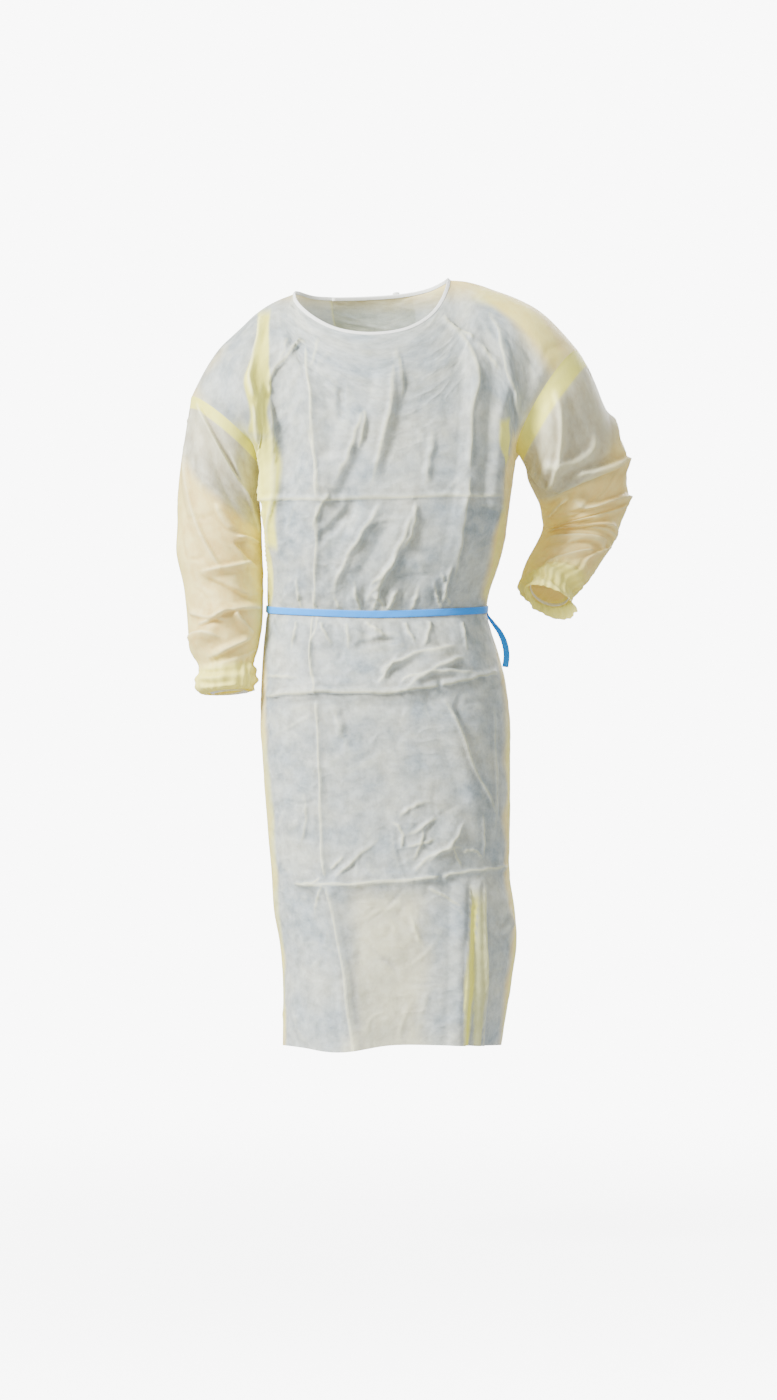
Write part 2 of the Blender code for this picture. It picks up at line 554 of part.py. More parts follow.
def sleeve_folds(down, turns, folds):
    """The height of all folds of a sleeve at distances down it and turns round it."""
    total = np.zeros(np.broadcast(down, turns).shape)
    across = SLEEVE_RADIUS * turns + 0 * down
    below = down + 0 * turns
    for down1, round1, down2, round2, width, height in zip(*folds.values()):
        corners = np.array([[np.radians(round1) * SLEEVE_RADIUS, down1], [np.radians(round2) * SLEEVE_RADIUS, down2]])
        for whole_turn in (-2 * np.pi * SLEEVE_RADIUS, 0, 2 * np.pi * SLEEVE_RADIUS):
            along, aside = far_and_aside(across, below, corners + [whole_turn, 0])
            total += height * fade(along, 0.3, 0.3) * np.clip(1 - (aside / width) ** 2, 0, 1) ** 1.5
    return total


def sleeve_grid(sleeve, ring, folds, gathers_start, ring_line):
    """The sleeve as rows of points round it, armhole first: the folded cloth, the same rows without gathers, which
    way is out, and the middle of each row.
    ring_line is the armhole, from the shoulder tip round the front."""
    upper = np.linspace(0, gathers_start, SLEEVE_ROWS + 1)
    share = np.concatenate([upper, np.linspace(gathers_start, 1, CUFF_ROWS + 1)[1:]])
    tip, under = ring_line[0], ring_line[ARMHOLE_ROWS]
    middle, wide, deep = sleeve_stations(sleeve, under, tip, ring, share)
    step = np.linalg.norm(np.diff(middle, axis=0), axis=1)
    down = np.concatenate([[0], np.cumsum(step)])[:, None]
    turns = np.linspace(0, 2 * np.pi, 2 * CUFF_GATHERS, endpoint=False)[None, :]
    plain = middle[:, None] + wide[:, None] * np.cos(turns)[..., None] + deep[:, None] * np.sin(turns)[..., None]
    plain[0, ::2] = ring_line
    plain[0, 1::2] = (ring_line + np.roll(ring_line, -1, axis=0)) / 2
    out = unit(plain - middle[:, None])
    grown = smooth((share - gathers_start) / (1 - gathers_start) * 3)[:, None]
    pressed = 1 - 0.85 * smooth((-np.cos(turns) - 0.55) / 0.35)
    bulge = sleeve_folds(down, turns, folds) * smooth(down / 0.03) * (1 - grown) * pressed
    bulge = bulge + GATHER_DEPTH * grown * np.cos(CUFF_GATHERS * turns)
    return plain + out * bulge[..., None], plain, out, middle


def parted(outer, inner, row):
    """The rings of a tube as two stretches, each of which stops the seam allowance short of the given row."""
    step = SEAM * unit(outer[row + 1] - outer[row - 1])
    upper = [*outer[:row], outer[row] - step], [*inner[:row], inner[row] - step]
    lower = [outer[row] + step, *outer[row + 1 :]], [inner[row] + step, *inner[row + 1 :]]
    return upper, lower


def pull_back(grid, ends):
    """The grid with its edges moved inwards by the seam allowance, so that pieces don't touch. ends says which of
    the first column, the last column and the last row are seams."""
    moved = grid.copy()
    for on, edge, inside in (
        (ends[0], np.s_[:, 0], np.s_[:, 1]),
        (ends[1], np.s_[:, -1], np.s_[:, -2]),
        (ends[2], np.s_[-1, :], np.s_[-2, :]),
    ):
        if on:
            tangent = unit(np.gradient(grid[edge], axis=0))
            inwards = grid[inside] - grid[edge]
            inwards = unit(inwards - tangent * np.sum(inwards * tangent, axis=1, keepdims=True))
            moved[edge] += SEAM * inwards
    return moved


def material(name):
    made = bpy.data.materials.get(name) or bpy.data.materials.new(name)
    made.use_nodes = True
    colour, roughness = COLOURS[name]
    shader = made.node_tree.nodes["Principled BSDF"]
    shader.inputs["Base Color"].default_value = (*colour, 1)
    shader.inputs["Roughness"].default_value = roughness
    shader.inputs["Metallic"].default_value = 0
    return made


def piece(name, points, faces, finish):
    """One named object in the gown's own frame."""
    mesh = bpy.data.meshes.new(name)
    mesh.from_pydata([tuple(map(float, p)) for p in points], [], faces)
    mesh.validate()
    mesh.materials.append(material(finish))
    made = bpy.data.objects.new(name, mesh)
    bpy.context.scene.collection.objects.link(made)
    made.parent = bpy.data.objects["gown"]
    mesh.shade_smooth()
    mesh.set_sharp_from_angle(angle=np.radians(75))
    return made


def split(points, a, b, c, d, behind):
    """The triangles of one outer quad, cut along its shorter diagonal, and of the inner quad behind it."""
    if np.linalg.norm(points[a] - points[c]) < np.linalg.norm(points[b] - points[d]):
        outer = [(a, b, c), (a, c, d)]
    else:
        outer = [(a, b, d), (b, c, d)]
    return outer + [tuple(corner + behind for corner in reversed(face)) for face in outer]


def rim_faces(points, a, b, behind):
    """The triangles of the edge of a wall, from the outer points a and b to the inner ones behind them."""
    if np.linalg.norm(points[a] - points[b + behind]) < np.linalg.norm(points[b] - points[a + behind]):
        return [(b, a, b + behind), (a, a + behind, b + behind)]
    return [(b, a, a + behind), (b, a + behind, b + behind)]


def wall(name, grid, normals, finish, thick=WALL):
    """An open sheet of cloth as a closed wall: outer points, and inner points behind them."""
    rows, columns = grid.shape[:2]
    points = np.concatenate([grid.reshape(-1, 3), (grid - normals * thick).reshape(-1, 3)])
    behind = rows * columns
    faces = []
    for r in range(rows - 1):
        for c in range(columns - 1):
            a, b = r * columns + c, r * columns + c + 1
            faces += split(points, a, b, b + columns, a + columns, behind)
    rim = [c for c in range(columns)]
    rim += [r * columns + columns - 1 for r in range(1, rows)]
    rim += [(rows - 1) * columns + c for c in range(columns - 2, -1, -1)]
    rim += [r * columns for r in range(rows - 2, 0, -1)]
    for a, b in zip(rim, rim[1:] + rim[:1]):
        faces += rim_faces(points, a, b, behind)
    return piece(name, points, faces, finish)


def tube(name, layers, inner_layers, finish, turned):
    """A tube as a closed wall. The first ring may have half as many points as the others. turned flips the faces."""
    points = np.concatenate([*layers, *inner_layers])
    behind = len(points) // 2
    starts = np.concatenate([[0], np.cumsum([len(ring) for ring in layers])])
    faces = []
    half, whole = len(layers[0]), len(layers[1])
    for k in range(half):
        a, b = k, (k + 1) % half
        faces += rim_faces(points, a, b, behind)
        if half < whole:
            near, mid, far = (starts[1] + (2 * k + j) % whole for j in range(3))
            for face in ((a, mid, near), (a, b, mid), (b, far, mid)):
                faces += [face, tuple(corner + behind for corner in reversed(face))]
    for row in starts[int(half < whole) : -2]:
        for k in range(whole):
            ahead = (k + 1) % whole
            faces += split(points, row + k, row + ahead, row + whole + ahead, row + whole + k, behind)
    end = starts[-2]
    for k in range(whole):
        faces += rim_faces(points, end + (k + 1) % whole, end + k, behind)
    if turned:
        faces = [tuple(reversed(face)) for face in faces]
    return piece(name, points, [tuple(map(int, face)) for face in faces], finish)


def ribbon(name, path, across, out, width, thick, finish, closed=False):
    """A flat strip along a path. across is the direction of its width, and out the way its outer face looks."""
    path, across, out = np.asarray(path), unit(np.asarray(across)), unit(np.asarray(out))
    half, skin = across * width / 2, out * thick
    rings = np.stack([path - half, path + half, path + half + skin, path - half + skin], axis=1)
    faces, count = [], len(path)
    for k in range(count if closed else count - 1):
        a, b = 4 * k, 4 * ((k + 1) % count)
        for j in range(4):
            faces.append((a + j, a + (j + 1) % 4, b + (j + 1) % 4, b + j))
    if not closed:
        faces += [(3, 2, 1, 0), tuple(4 * (count - 1) + j for j in range(4))]
    corners = rings.reshape(-1, 3)
    volume = sum(
        np.dot(corners[f[0]], np.cross(corners[f[k]], corners[f[k + 1]])) for f in faces for k in (1, 2)
    )
    if volume < 0:
        faces = [tuple(reversed(f)) for f in faces]
    return piece(name, corners, faces, finish)


def knot(name, middle, across, out, size, finish):
    """A knot as a rounded block, standing on a strip that it closes."""
    up = unit(np.cross(out, across))
    across, out = unit(across), unit(out)
    corners = []
    for share, shrink in ((0.0, 0.72), (0.18, 0.95), (0.5, 1.0), (0.82, 0.86), (1.0, 0.5)):
        for angle in np.linspace(0, 2 * np.pi, 12, endpoint=False):
            reach = (abs(np.cos(angle)) ** 2.6 + abs(np.sin(angle)) ** 2.6) ** (-1 / 2.6)
            corners.append(
                middle
                + out * size[1] * share
                + across * size[0] / 2 * shrink * reach * np.cos(angle)
                + up * size[2] / 2 * shrink * reach * np.sin(angle)
            )
    faces = [tuple(range(11, -1, -1)), tuple(48 + k for k in range(12))]
    for ring in range(4):
        for k in range(12):
            a, b = 12 * ring + k, 12 * ring + (k + 1) % 12
            faces.append((a, b, b + 12, a + 12))
    return piece(name, corners, faces, finish)


def on_panel(grid, normals, row, column, lift):
    """A point of a panel at fractional row and column, moved out by lift, and the normal there."""
    r, c = min(int(row), len(grid) - 2), min(int(column), grid.shape[1] - 2)
    s, t = row - r, column - c
    weights = ((1 - s) * (1 - t), (1 - s) * t, s * (1 - t), s * t)
    places = ((r, c), (r, c + 1), (r + 1, c), (r + 1, c + 1))
    point = sum(w * grid[p] for w, p in zip(weights, places))
    normal = unit(sum(w * normals[p] for w, p in zip(weights, places)))
    return point + normal * lift, normal


def clear_scene():
    for old in list(bpy.data.objects):
        bpy.data.objects.remove(old)


def build():
    clear_scene()
    bpy.context.scene.collection.objects.link(bpy.data.objects.new("gown", None))

    front, back = body_half(-1), body_half(1)
    front_out, back_out = normals_of(front), normals_of(back)
    low = len(ROW_HEIGHTS) - 1  # the underarm row
    front_last, back_last = front.shape[1] - 1, back.shape[1] - 1

    # The end faces at a seam lie along the mean of the two pieces' normals
    for f, b in ((0, -1), (-1, 0)):
        both = unit(front_out[: low + 1, f] + back_out[: low + 1, b])
        front_out[: low + 1, f] = back_out[: low + 1, b] = both
    for k in range(SHOULDER_COLUMNS + 1):
        for f, b in ((k, back_last - k), (front_last - k, k)):
            both = unit(front_out[-1, f] + back_out[-1, b])
            front_out[-1, f] = back_out[-1, b] = both

    cuffs = {}
    for name, sleeve, ring, folds, start, f in (
        ("sleeve_right", SLEEVE_RIGHT, ARMHOLE_RIGHT, RIGHT_SLEEVE_FOLDS, RIGHT_GATHERS_START, 0),
        ("sleeve_left", SLEEVE_LEFT, ARMHOLE_LEFT, LEFT_SLEEVE_FOLDS, LEFT_GATHERS_START, -1),
    ):
        b = -1 - f
        ring_line = np.concatenate([front[low:, f][::-1], back[low + 1 : -1, b]])
        cloth, plain, out, middle = sleeve_grid(sleeve, ring, folds, start, ring_line)
        flip = f == 0
        cloth_out = normals_of(cloth, True) * (-1 if flip else 1)
        ring_out = np.concatenate([front_out[low:, f][::-1], back_out[low + 1 : -1, b]])
        both = unit(ring_out + cloth_out[0, ::2])
        front_out[low:, f] = both[: ARMHOLE_ROWS + 1][::-1]
        back_out[low:, b] = np.concatenate([both[ARMHOLE_ROWS:], both[:1]])
        tangent = unit(np.roll(ring_line, -1, axis=0) - np.roll(ring_line, 1, axis=0))
        down = cloth[1, ::2] - ring_line
        down = unit(down - tangent * np.sum(down * tangent, axis=1, keepdims=True))
        edge = ring_line + SEAM * down
        rings = [edge, *cloth[1:]], [edge - both * WALL, *(cloth - cloth_out * WALL)[1:]]
        if name in SLEEVE_PARTED:
            upper, lower = parted(*rings, SLEEVE_PARTED[name])
            tube(name + "_upper", *upper, "cloth", flip)
            tube(name + "_lower", *lower, "cloth", flip)
        else:
            tube(name, *rings, "cloth", flip)
        row, clear = ELASTIC[name]["row"], ELASTIC[name]["clear"]
        inside = plain[row] - out[row] * (GATHER_DEPTH + WALL + clear)
        cuffs[name] = (inside, out[row], unit(middle[row] - middle[row - 2]))

    front, back = (pull_back(grid, (True, True, True)) for grid in (front, back))
    wall("front", front, front_out, "cloth")

    centre = (back_last + 1) // 2
    columns = np.arange(back_last + 1)
    lift = smooth((centre + 3 * LAP_COLUMNS - columns) / (1.8 * LAP_COLUMNS)) * LAP_LIFT
    raised = back + back_out * lift[None, :, None]
    left_back, left_out = (grid[:, : centre + LAP_COLUMNS + 1] for grid in (back, back_out))
    right_back, right_out = (grid[:, centre - LAP_COLUMNS :] for grid in (raised, back_out))
    wall("back_left", left_back, left_out, "cloth")
    wall("back_right", right_back, right_out, "cloth")

    build_binding(front, front_out, left_back, left_out, right_back, right_out)
    build_waist_tie(front, front_out, left_back, left_out, right_back, right_out)
    for name, cuff in cuffs.items():
        build_elastic(name.replace("sleeve", "cuff_elastic"), *cuff)


def build_binding(front, front_out, left_back, left_out, right_back, right_out):
    """The binding round the neck, from the lower back panel's edge round the front to the upper one's, and the ties."""
    neck_start, neck_end = SHOULDER_COLUMNS, front.shape[1] - 1 - SHOULDER_COLUMNS
    stretches = (
        (left_back, left_out, range(left_back.shape[1] - 1, neck_start, -1)),
        (front, front_out, range(neck_end, neck_start - 1, -1)),
        (right_back, right_out, range(right_back.shape[1] - 2 - SHOULDER_COLUMNS, -1, -1)),
    )
    edge, out = [], []
    for grid, normals, columns in stretches:
        for c in columns:
            edge.append(grid[-1, c] - normals[-1, c] * (WALL + BINDING_PROUD))
            out.append(normals[-1, c])
    edge, out = np.array(edge), np.array(out)
    across = unit(np.cross(out, np.gradient(edge, axis=0)))
    across *= np.sign(np.sum(across * (np.array([0, 0, 0.08]) - edge), axis=1, keepdims=True))
    path = edge + across * (BINDING_WIDTH / 2 + 3 * SEAM)
    ribbon("neck_binding", path, across, out, BINDING_WIDTH, WALL + 2 * BINDING_PROUD, "binding")

    last, outwards, upwards = path[-2], out[-2], across[-2]
    sideways = unit(np.cross(outwards, upwards))
    face = last + outwards * (WALL + 2 * BINDING_PROUD + TIE_CLEAR / 2)
    knot("neck_tie_knot", face, sideways, outwards, NECK_KNOT_SIZE, "binding")
    for side, column, drop in (("right", 1.45, 6.6), ("left", 0.35, 6.0)):
        rows = len(right_back) - 1 - np.linspace(0.35, drop, 9)
        hang, looks = zip(
            *(on_panel(right_back, right_out, r, column, 0.0011 + 0.0004 * (k % 2)) for k, r in enumerate(rows))
        )
        run = np.gradient(np.array(hang), axis=0)
        ribbon("neck_tie_end_" + side, hang, np.cross(looks, run), looks, TAIL_WIDTH, TIE_THICK / 2, "binding")


def build_waist_tie(front, front_out, left_back, left_out, right_back, right_out):
    """The tie round the waist, over the outermost panel all the way, with its knot and two ends at the left hip."""
    low_row, high_row = ROW_HEIGHTS.index(-0.5385), ROW_HEIGHTS.index(-0.5195)
    share = (TIE_HEIGHT - ROW_HEIGHTS[low_row]) / (ROW_HEIGHTS[high_row] - ROW_HEIGHTS[low_row])
    middle = low_row + share
    lap_start = left_back.shape[1] - 1 - 2 * LAP_COLUMNS
    stretches = (
        (front, front_out, range(0, front.shape[1] - 1)),
        (left_back, left_out, range(0, lap_start)),
        (right_back, right_out, range(0, right_back.shape[1] - 1)),
    )
    path, across, out = [], [], []
    for grid, normals, columns in stretches:
        for c in columns:
            edge_clear = TIE_CLEAR
            if grid is left_back:
                edge_clear += LAP_LIFT * smooth((c - lap_start + 4) / 3)
            point, normal = on_panel(grid, normals, middle, c, edge_clear)
            up = unit(grid[high_row, c] - grid[low_row, c])
            path.append(point)
            across.append(up)
            out.append(unit(normal - up * np.dot(normal, up)))
    ribbon("waist_tie", path, across, out, TIE_WIDTH, TIE_THICK, "tie", closed=True)

    at = front.shape[1] - 1 + KNOT_COLUMN
    along = unit(path[at + 1] - path[at - 1])
    base = path[at] + out[at] * (TIE_THICK + TIE_CLEAR / 2)
    knot("waist_tie_knot", base, along, out[at], KNOT_SIZE, "tie")
    start = base + out[at] * (KNOT_SIZE[1] + TIE_CLEAR / 2)
    side = start + np.stack([SIDE_TAIL["x"], SIDE_TAIL["y"], SIDE_TAIL["z"]], axis=1)
    looks = np.cross(np.tile(along, (len(side), 1)), np.gradient(side, axis=0))
    looks *= np.sign(looks @ out[at])[:, None]
    ribbon("waist_tie_end_side", side, [along] * len(side), looks, TIE_WIDTH * 0.8, TIE_THICK, "tie")
    rows = np.linspace(low_row - 0.45, low_row - BACK_TAIL_ROWS, 8)
    hang, looks = zip(*(on_panel(left_back, left_out, r, BACK_TAIL_COLUMN, 0.0012) for r in rows))
    run = np.gradient(np.array(hang), axis=0)
    ribbon("waist_tie_end_back", hang, np.cross(looks, run), looks, TIE_WIDTH, TIE_THICK, "tie")


def build_elastic(name, ring, out, run):
    """The elastic round the inside of a cuff. ring runs just inside the gathers, and run points down the arm."""
    across = [run] * (len(ring) // 2)
    ribbon(name, ring[::2], across, -out[::2], ELASTIC_WIDTH, ELASTIC_THICK, "elastic", closed=True)


build()
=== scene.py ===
"""The look of the isolation gown: thin cloth with its folds and creases, on the form of the solids."""

import bpy
import numpy as np
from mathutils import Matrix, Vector


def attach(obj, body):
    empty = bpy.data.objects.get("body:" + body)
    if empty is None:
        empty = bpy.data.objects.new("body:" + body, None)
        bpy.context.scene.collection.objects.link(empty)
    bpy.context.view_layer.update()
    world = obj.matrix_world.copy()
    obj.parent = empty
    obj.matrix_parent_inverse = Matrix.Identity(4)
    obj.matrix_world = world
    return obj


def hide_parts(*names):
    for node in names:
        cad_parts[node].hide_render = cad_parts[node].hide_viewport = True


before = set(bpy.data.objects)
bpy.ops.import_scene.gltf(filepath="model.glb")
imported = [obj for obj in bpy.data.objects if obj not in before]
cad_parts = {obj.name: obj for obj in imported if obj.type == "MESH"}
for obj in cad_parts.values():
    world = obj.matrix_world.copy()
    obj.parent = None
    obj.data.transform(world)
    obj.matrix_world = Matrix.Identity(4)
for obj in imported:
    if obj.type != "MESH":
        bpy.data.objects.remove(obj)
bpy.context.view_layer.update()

# The form of the gown, as in its solids. Metres, +Z up; the front faces -Y, and the wearer's right is at -X.
SHOULDER_COLUMNS = 10
FRONT_NECK_COLUMNS = 16
BACK_NECK_COLUMNS = 10
LAP_COLUMNS = 2
ARMHOLE_ROWS = 10
HEM = -1.214
HEM_FRONT_RISE = 0.0135
HEM_DIP = {"depth": 0.011, "turn": -30, "width": 20}
TIE_HEIGHT = -0.529
TIE_RISE = 0.011
TIE_REACH = 0.08
TIE_HOLD = 0.026
UNDERARM_RIGHT = -0.2784
UNDERARM_LEFT = -0.2656
UNDERARM_DIP = 0.028
UNDERARM_DIP_REACH = 0.17
NECK_LEFT_POINT = 10
NECK_SIDE_CLIMB = 20
NECK_MIDDLE_CLIMB = 52
NECK_EASE_PASSES = 12
UNDERARM_PULL = 1.9  # how strongly the cloth rises straight from the underarm row
TOP_PULL = 1.55  # and how strongly it arrives at the shoulders and neck
MIDDLE_PULL = 0.5
ARMHOLE_RIGHT = {"depth": 0.096, "turn": np.radians(-6)}
ARMHOLE_LEFT = {"depth": 0.078, "turn": np.radians(-12)}
ARMHOLE_DRAW = 0.24
SLEEVE_ROWS = 15
CUFF_ROWS = 6
CUFF_GATHERS = 20
RIGHT_GATHERS_START = 0.66
LEFT_GATHERS_START = 0.74
SLEEVE_RADIUS = 0.065
SIDE_UNROLL = 0.8
SIDE_UNROLL_TOP = -0.15
SIDE_UNROLL_REACH = 0.12
GATHER_NEAR = 0.022
GATHER_SPREAD = 0.028

# The fine grid of the cloth
FINE_STEP = 0.0028
COLUMN_STEPS = 6  # fine columns for each column of the solid
CREASE_DEPTH = 2.3  # times the heights in the tables of creases of the body
SLEEVE_CREASE_DEPTH = 3.2  # times the heights in those of the sleeves
SLEEVE_CREASE_WIDTH = 1.35  # times their half widths
SLEEVE_CREASE_LEAN = 0.5  # how much steeper one side of a sleeve's crease is, by turns this one and that one
CREASE_BEATS = (2, 5)  # the least and most waves along a crease of the body
CREASE_WAVER = 0.12  # how far it strays to both sides, as a share of its half width
CREASE_UNEVEN = 0.3  # how much its height varies along it
WAVE = 6.3  # a whole wave, about two pi
# Near its line a crease's crest is painted paler: the whitened line with painted highlight
CREST_REACH = 0.003  # how far from its line a crease is paler
SLEEVE_CREST_REACH = 0.004
FOLD_SHARE = 0.65  # of the solid's large folds: the fine creases add the rest
# Painted shade in the hollows and painted highlight where the cloth stands out are scaled by these two
RELIEF = 0.0024  # how far a point stands out or lies low where it is fully pale or dark
RELIEF_REACH = 4  # fine rows and columns over which that is measured
ARMHOLE_STEPS = 8  # fine rows for each row along the armhole, twice SLEEVE_STEPS
SLEEVE_STEPS = 4
SETTLE_PASSES = 12
BINDING_EASE_PASSES = 30
TIE_EASE_PASSES = 6

# Crumples: how many, their mean direction from level and its spread, and the least and most of their sizes
BODY_CRUMPLES = {"count": 190, "lean": 1.3, "spread": 0.8}
SLEEVE_CRUMPLES = {"count": 85, "lean": 0.3, "spread": 0.7}
CRUMPLE_LENGTH = (0.025, 0.11)
CRUMPLE_WIDTH = (0.004, 0.011)
CRUMPLE_HEIGHT = (0.0005, 0.0017)

# The soft unevenness of the cloth: heights, and the size of its features
BODY_WAVES = ((0.0011, 0.045), (0.0004, 0.014))
SLEEVE_WAVES = ((0.0010, 0.030), (0.0008, 0.026))
HEM_FLUTTER = 0.0022
HEM_FLUTTER_REACH = 0.06
HEM_FLUTTER_CELL = 0.040

# Small puckers above and below the waist tie: the degrees between them, and the least and most of their sizes
PUCKER_SPACING = (4, 9)
PUCKER_WIDTH = (1.2, 2.6)
PUCKER_REACH = (0.018, 0.050)
PUCKER_HEIGHT = (0.0010, 0.0028)

# The cuffs: a length of doubled cloth in rolls, gathers that run up the sleeve from it, and an uneven edge
CUFF_LENGTH = 0.052
GATHER_DEPTH = 0.0018
BUNCH_DEPTH = 0.0030
ROLL_DEPTH = 0.0020
ROLL_SPACING = 0.017
EDGE_REACH = 0.012
EDGE_FLARE = 0.0022
EDGE_RUFFLE = 0.0018


def table(names, rows):
    """The rows as one array for each named column."""
    return {name: np.array(column, float) for name, column in zip(names.split(), zip(*rows))}


BODY = table(
    "height right left front back square",
    [
        (-0.262, -0.1760, 0.232, 0.132, 0.122, 2.7),
        (-0.310, -0.1740, 0.226, 0.138, 0.124, 2.9),
        (-0.342, -0.1720, 0.221, 0.138, 0.122, 3.0),
        (-0.406, -0.1690, 0.213, 0.134, 0.116, 2.9),
        (-0.454, -0.1670, 0.200, 0.127, 0.110, 2.7),
        (-0.486, -0.1670, 0.189, 0.120, 0.106, 2.5),
        (-0.529, -0.1680, 0.184, 0.113, 0.103, 2.4),
        (-0.566, -0.1720, 0.196, 0.122, 0.113, 2.4),
        (-0.614, -0.1760, 0.209, 0.132, 0.127, 2.5),
        (-0.662, -0.1780, 0.218, 0.136, 0.137, 2.5),
        (-0.740, -0.1760, 0.221, 0.137, 0.141, 2.5),
        (-0.822, -0.1700, 0.221, 0.138, 0.142, 2.5),
        (-0.918, -0.1630, 0.220, 0.140, 0.144, 2.5),
        (-0.974, -0.1570, 0.222, 0.142, 0.147, 2.5),
        (-1.022, -0.1550, 0.233, 0.144, 0.150, 2.5),
        (-1.050, -0.1470, 0.231, 0.145, 0.151, 2.5),
        (-1.118, -0.1425, 0.222, 0.147, 0.153, 2.6),
        (-1.214, -0.1425, 0.206, 0.150, 0.155, 2.6),
    ],
)
ROW_HEIGHTS = (
    -1.214, -1.165, -1.110, -1.050, -1.000, -0.940, -0.880, -0.820, -0.750, -0.690, -0.640, -0.590,
    -0.556, -0.5385, -0.5195, -0.502, -0.465, -0.420, -0.370, -0.320, -0.272,
)
SHOULDER_RIGHT = table(
    "x y z",
    [
        (-0.2896, 0.000, -0.179),
        (-0.2670, 0.002, -0.134),
        (-0.2460, 0.003, -0.102),
        (-0.2130, 0.004, -0.070),
        (-0.1780, 0.005, -0.038),
        (-0.1500, 0.006, -0.022),
        (-0.1264, 0.007, -0.013),
    ],
)
SHOULDER_LEFT = table(
    "x y z",
    [
        (0.3300, 0.000, -0.104),
        (0.3010, 0.002, -0.070),
        (0.2660, 0.003, -0.038),
        (0.2370, 0.004, -0.022),
        (0.1950, 0.005, -0.006),
        (0.1540, 0.006, 0.007),
        (0.1250, 0.007, 0.010),
    ],
)
NECK = table(
    "x y z",
    [
        (-0.1264, 0.007, -0.013),
        (-0.1235, -0.020, -0.028),
        (-0.1110, -0.045, -0.044),
        (-0.0890, -0.070, -0.0625),
        (-0.0550, -0.090, -0.0795),
        (0.0040, -0.100, -0.0875),
        (0.0580, -0.090, -0.0780),
        (0.0910, -0.069, -0.058),
        (0.1110, -0.044, -0.033),
        (0.1225, -0.018, -0.005),
        (0.1250, 0.007, 0.010),
        (0.1210, 0.030, 0.009),
        (0.1080, 0.050, 0.003),
        (0.0850, 0.067, -0.004),
        (0.0450, 0.080, -0.010),
        (0.0000, 0.085, -0.013),
        (-0.0450, 0.080, -0.015),
        (-0.0850, 0.067, -0.015),
        (-0.1080, 0.050, -0.012),
        (-0.1220, 0.030, -0.009),
    ],
)
SLEEVE_RIGHT = table(
    "outer_x outer_z inner_x inner_z y depth",
    [
        (-0.2976, -0.2304, -0.1800, -0.3240, 0.002, 0.092),
        (-0.3072, -0.2944, -0.1775, -0.3744, 0.002, 0.087),
        (-0.3120, -0.3744, -0.1755, -0.4144, 0.000, 0.082),
        (-0.3120, -0.4304, -0.1740, -0.4510, -0.004, 0.078),
        (-0.2990, -0.4864, -0.1735, -0.4928, -0.010, 0.072),
        (-0.2944, -0.5376, -0.1750, -0.5376, -0.018, 0.064),
        (-0.2912, -0.5792, -0.1795, -0.5744, -0.026, 0.054),
        (-0.2752, -0.6096, -0.1860, -0.5984, -0.031, 0.041),
        (-0.2816, -0.6336, -0.1835, -0.6256, -0.034, 0.046),
        (-0.2750, -0.6496, -0.1870, -0.6430, -0.036, 0.042),
        (-0.2590, -0.6530, -0.1960, -0.6465, -0.037, 0.031),
    ],
)
SLEEVE_LEFT = table(
    "outer_x outer_z inner_x inner_z y depth",
    [
        (0.3504, -0.1376, 0.2450, -0.2880, 0.005, 0.078),
        (0.3712, -0.1872, 0.2510, -0.3104, 0.016, 0.078),
        (0.3920, -0.2256, 0.2602, -0.3300, 0.032, 0.076),
        (0.4102, -0.2680, 0.2706, -0.3480, 0.048, 0.073),
        (0.4090, -0.3040, 0.2734, -0.3640, 0.060, 0.071),
        (0.4150, -0.3400, 0.2758, -0.3800, 0.066, 0.069),
        (0.4026, -0.3760, 0.2720, -0.3955, 0.066, 0.066),
        (0.3904, -0.4080, 0.2640, -0.4112, 0.060, 0.063),
        (0.3712, -0.4384, 0.2480, -0.4400, 0.042, 0.057),
        (0.3504, -0.4672, 0.2416, -0.4608, 0.020, 0.050),
        (0.3328, -0.4864, 0.2400, -0.4720, 0.000, 0.044),
        (0.3184, -0.4992, 0.2496, -0.4784, -0.012, 0.034),
        (0.3220, -0.5210, 0.2432, -0.4900, -0.022, 0.041),
    ],
)

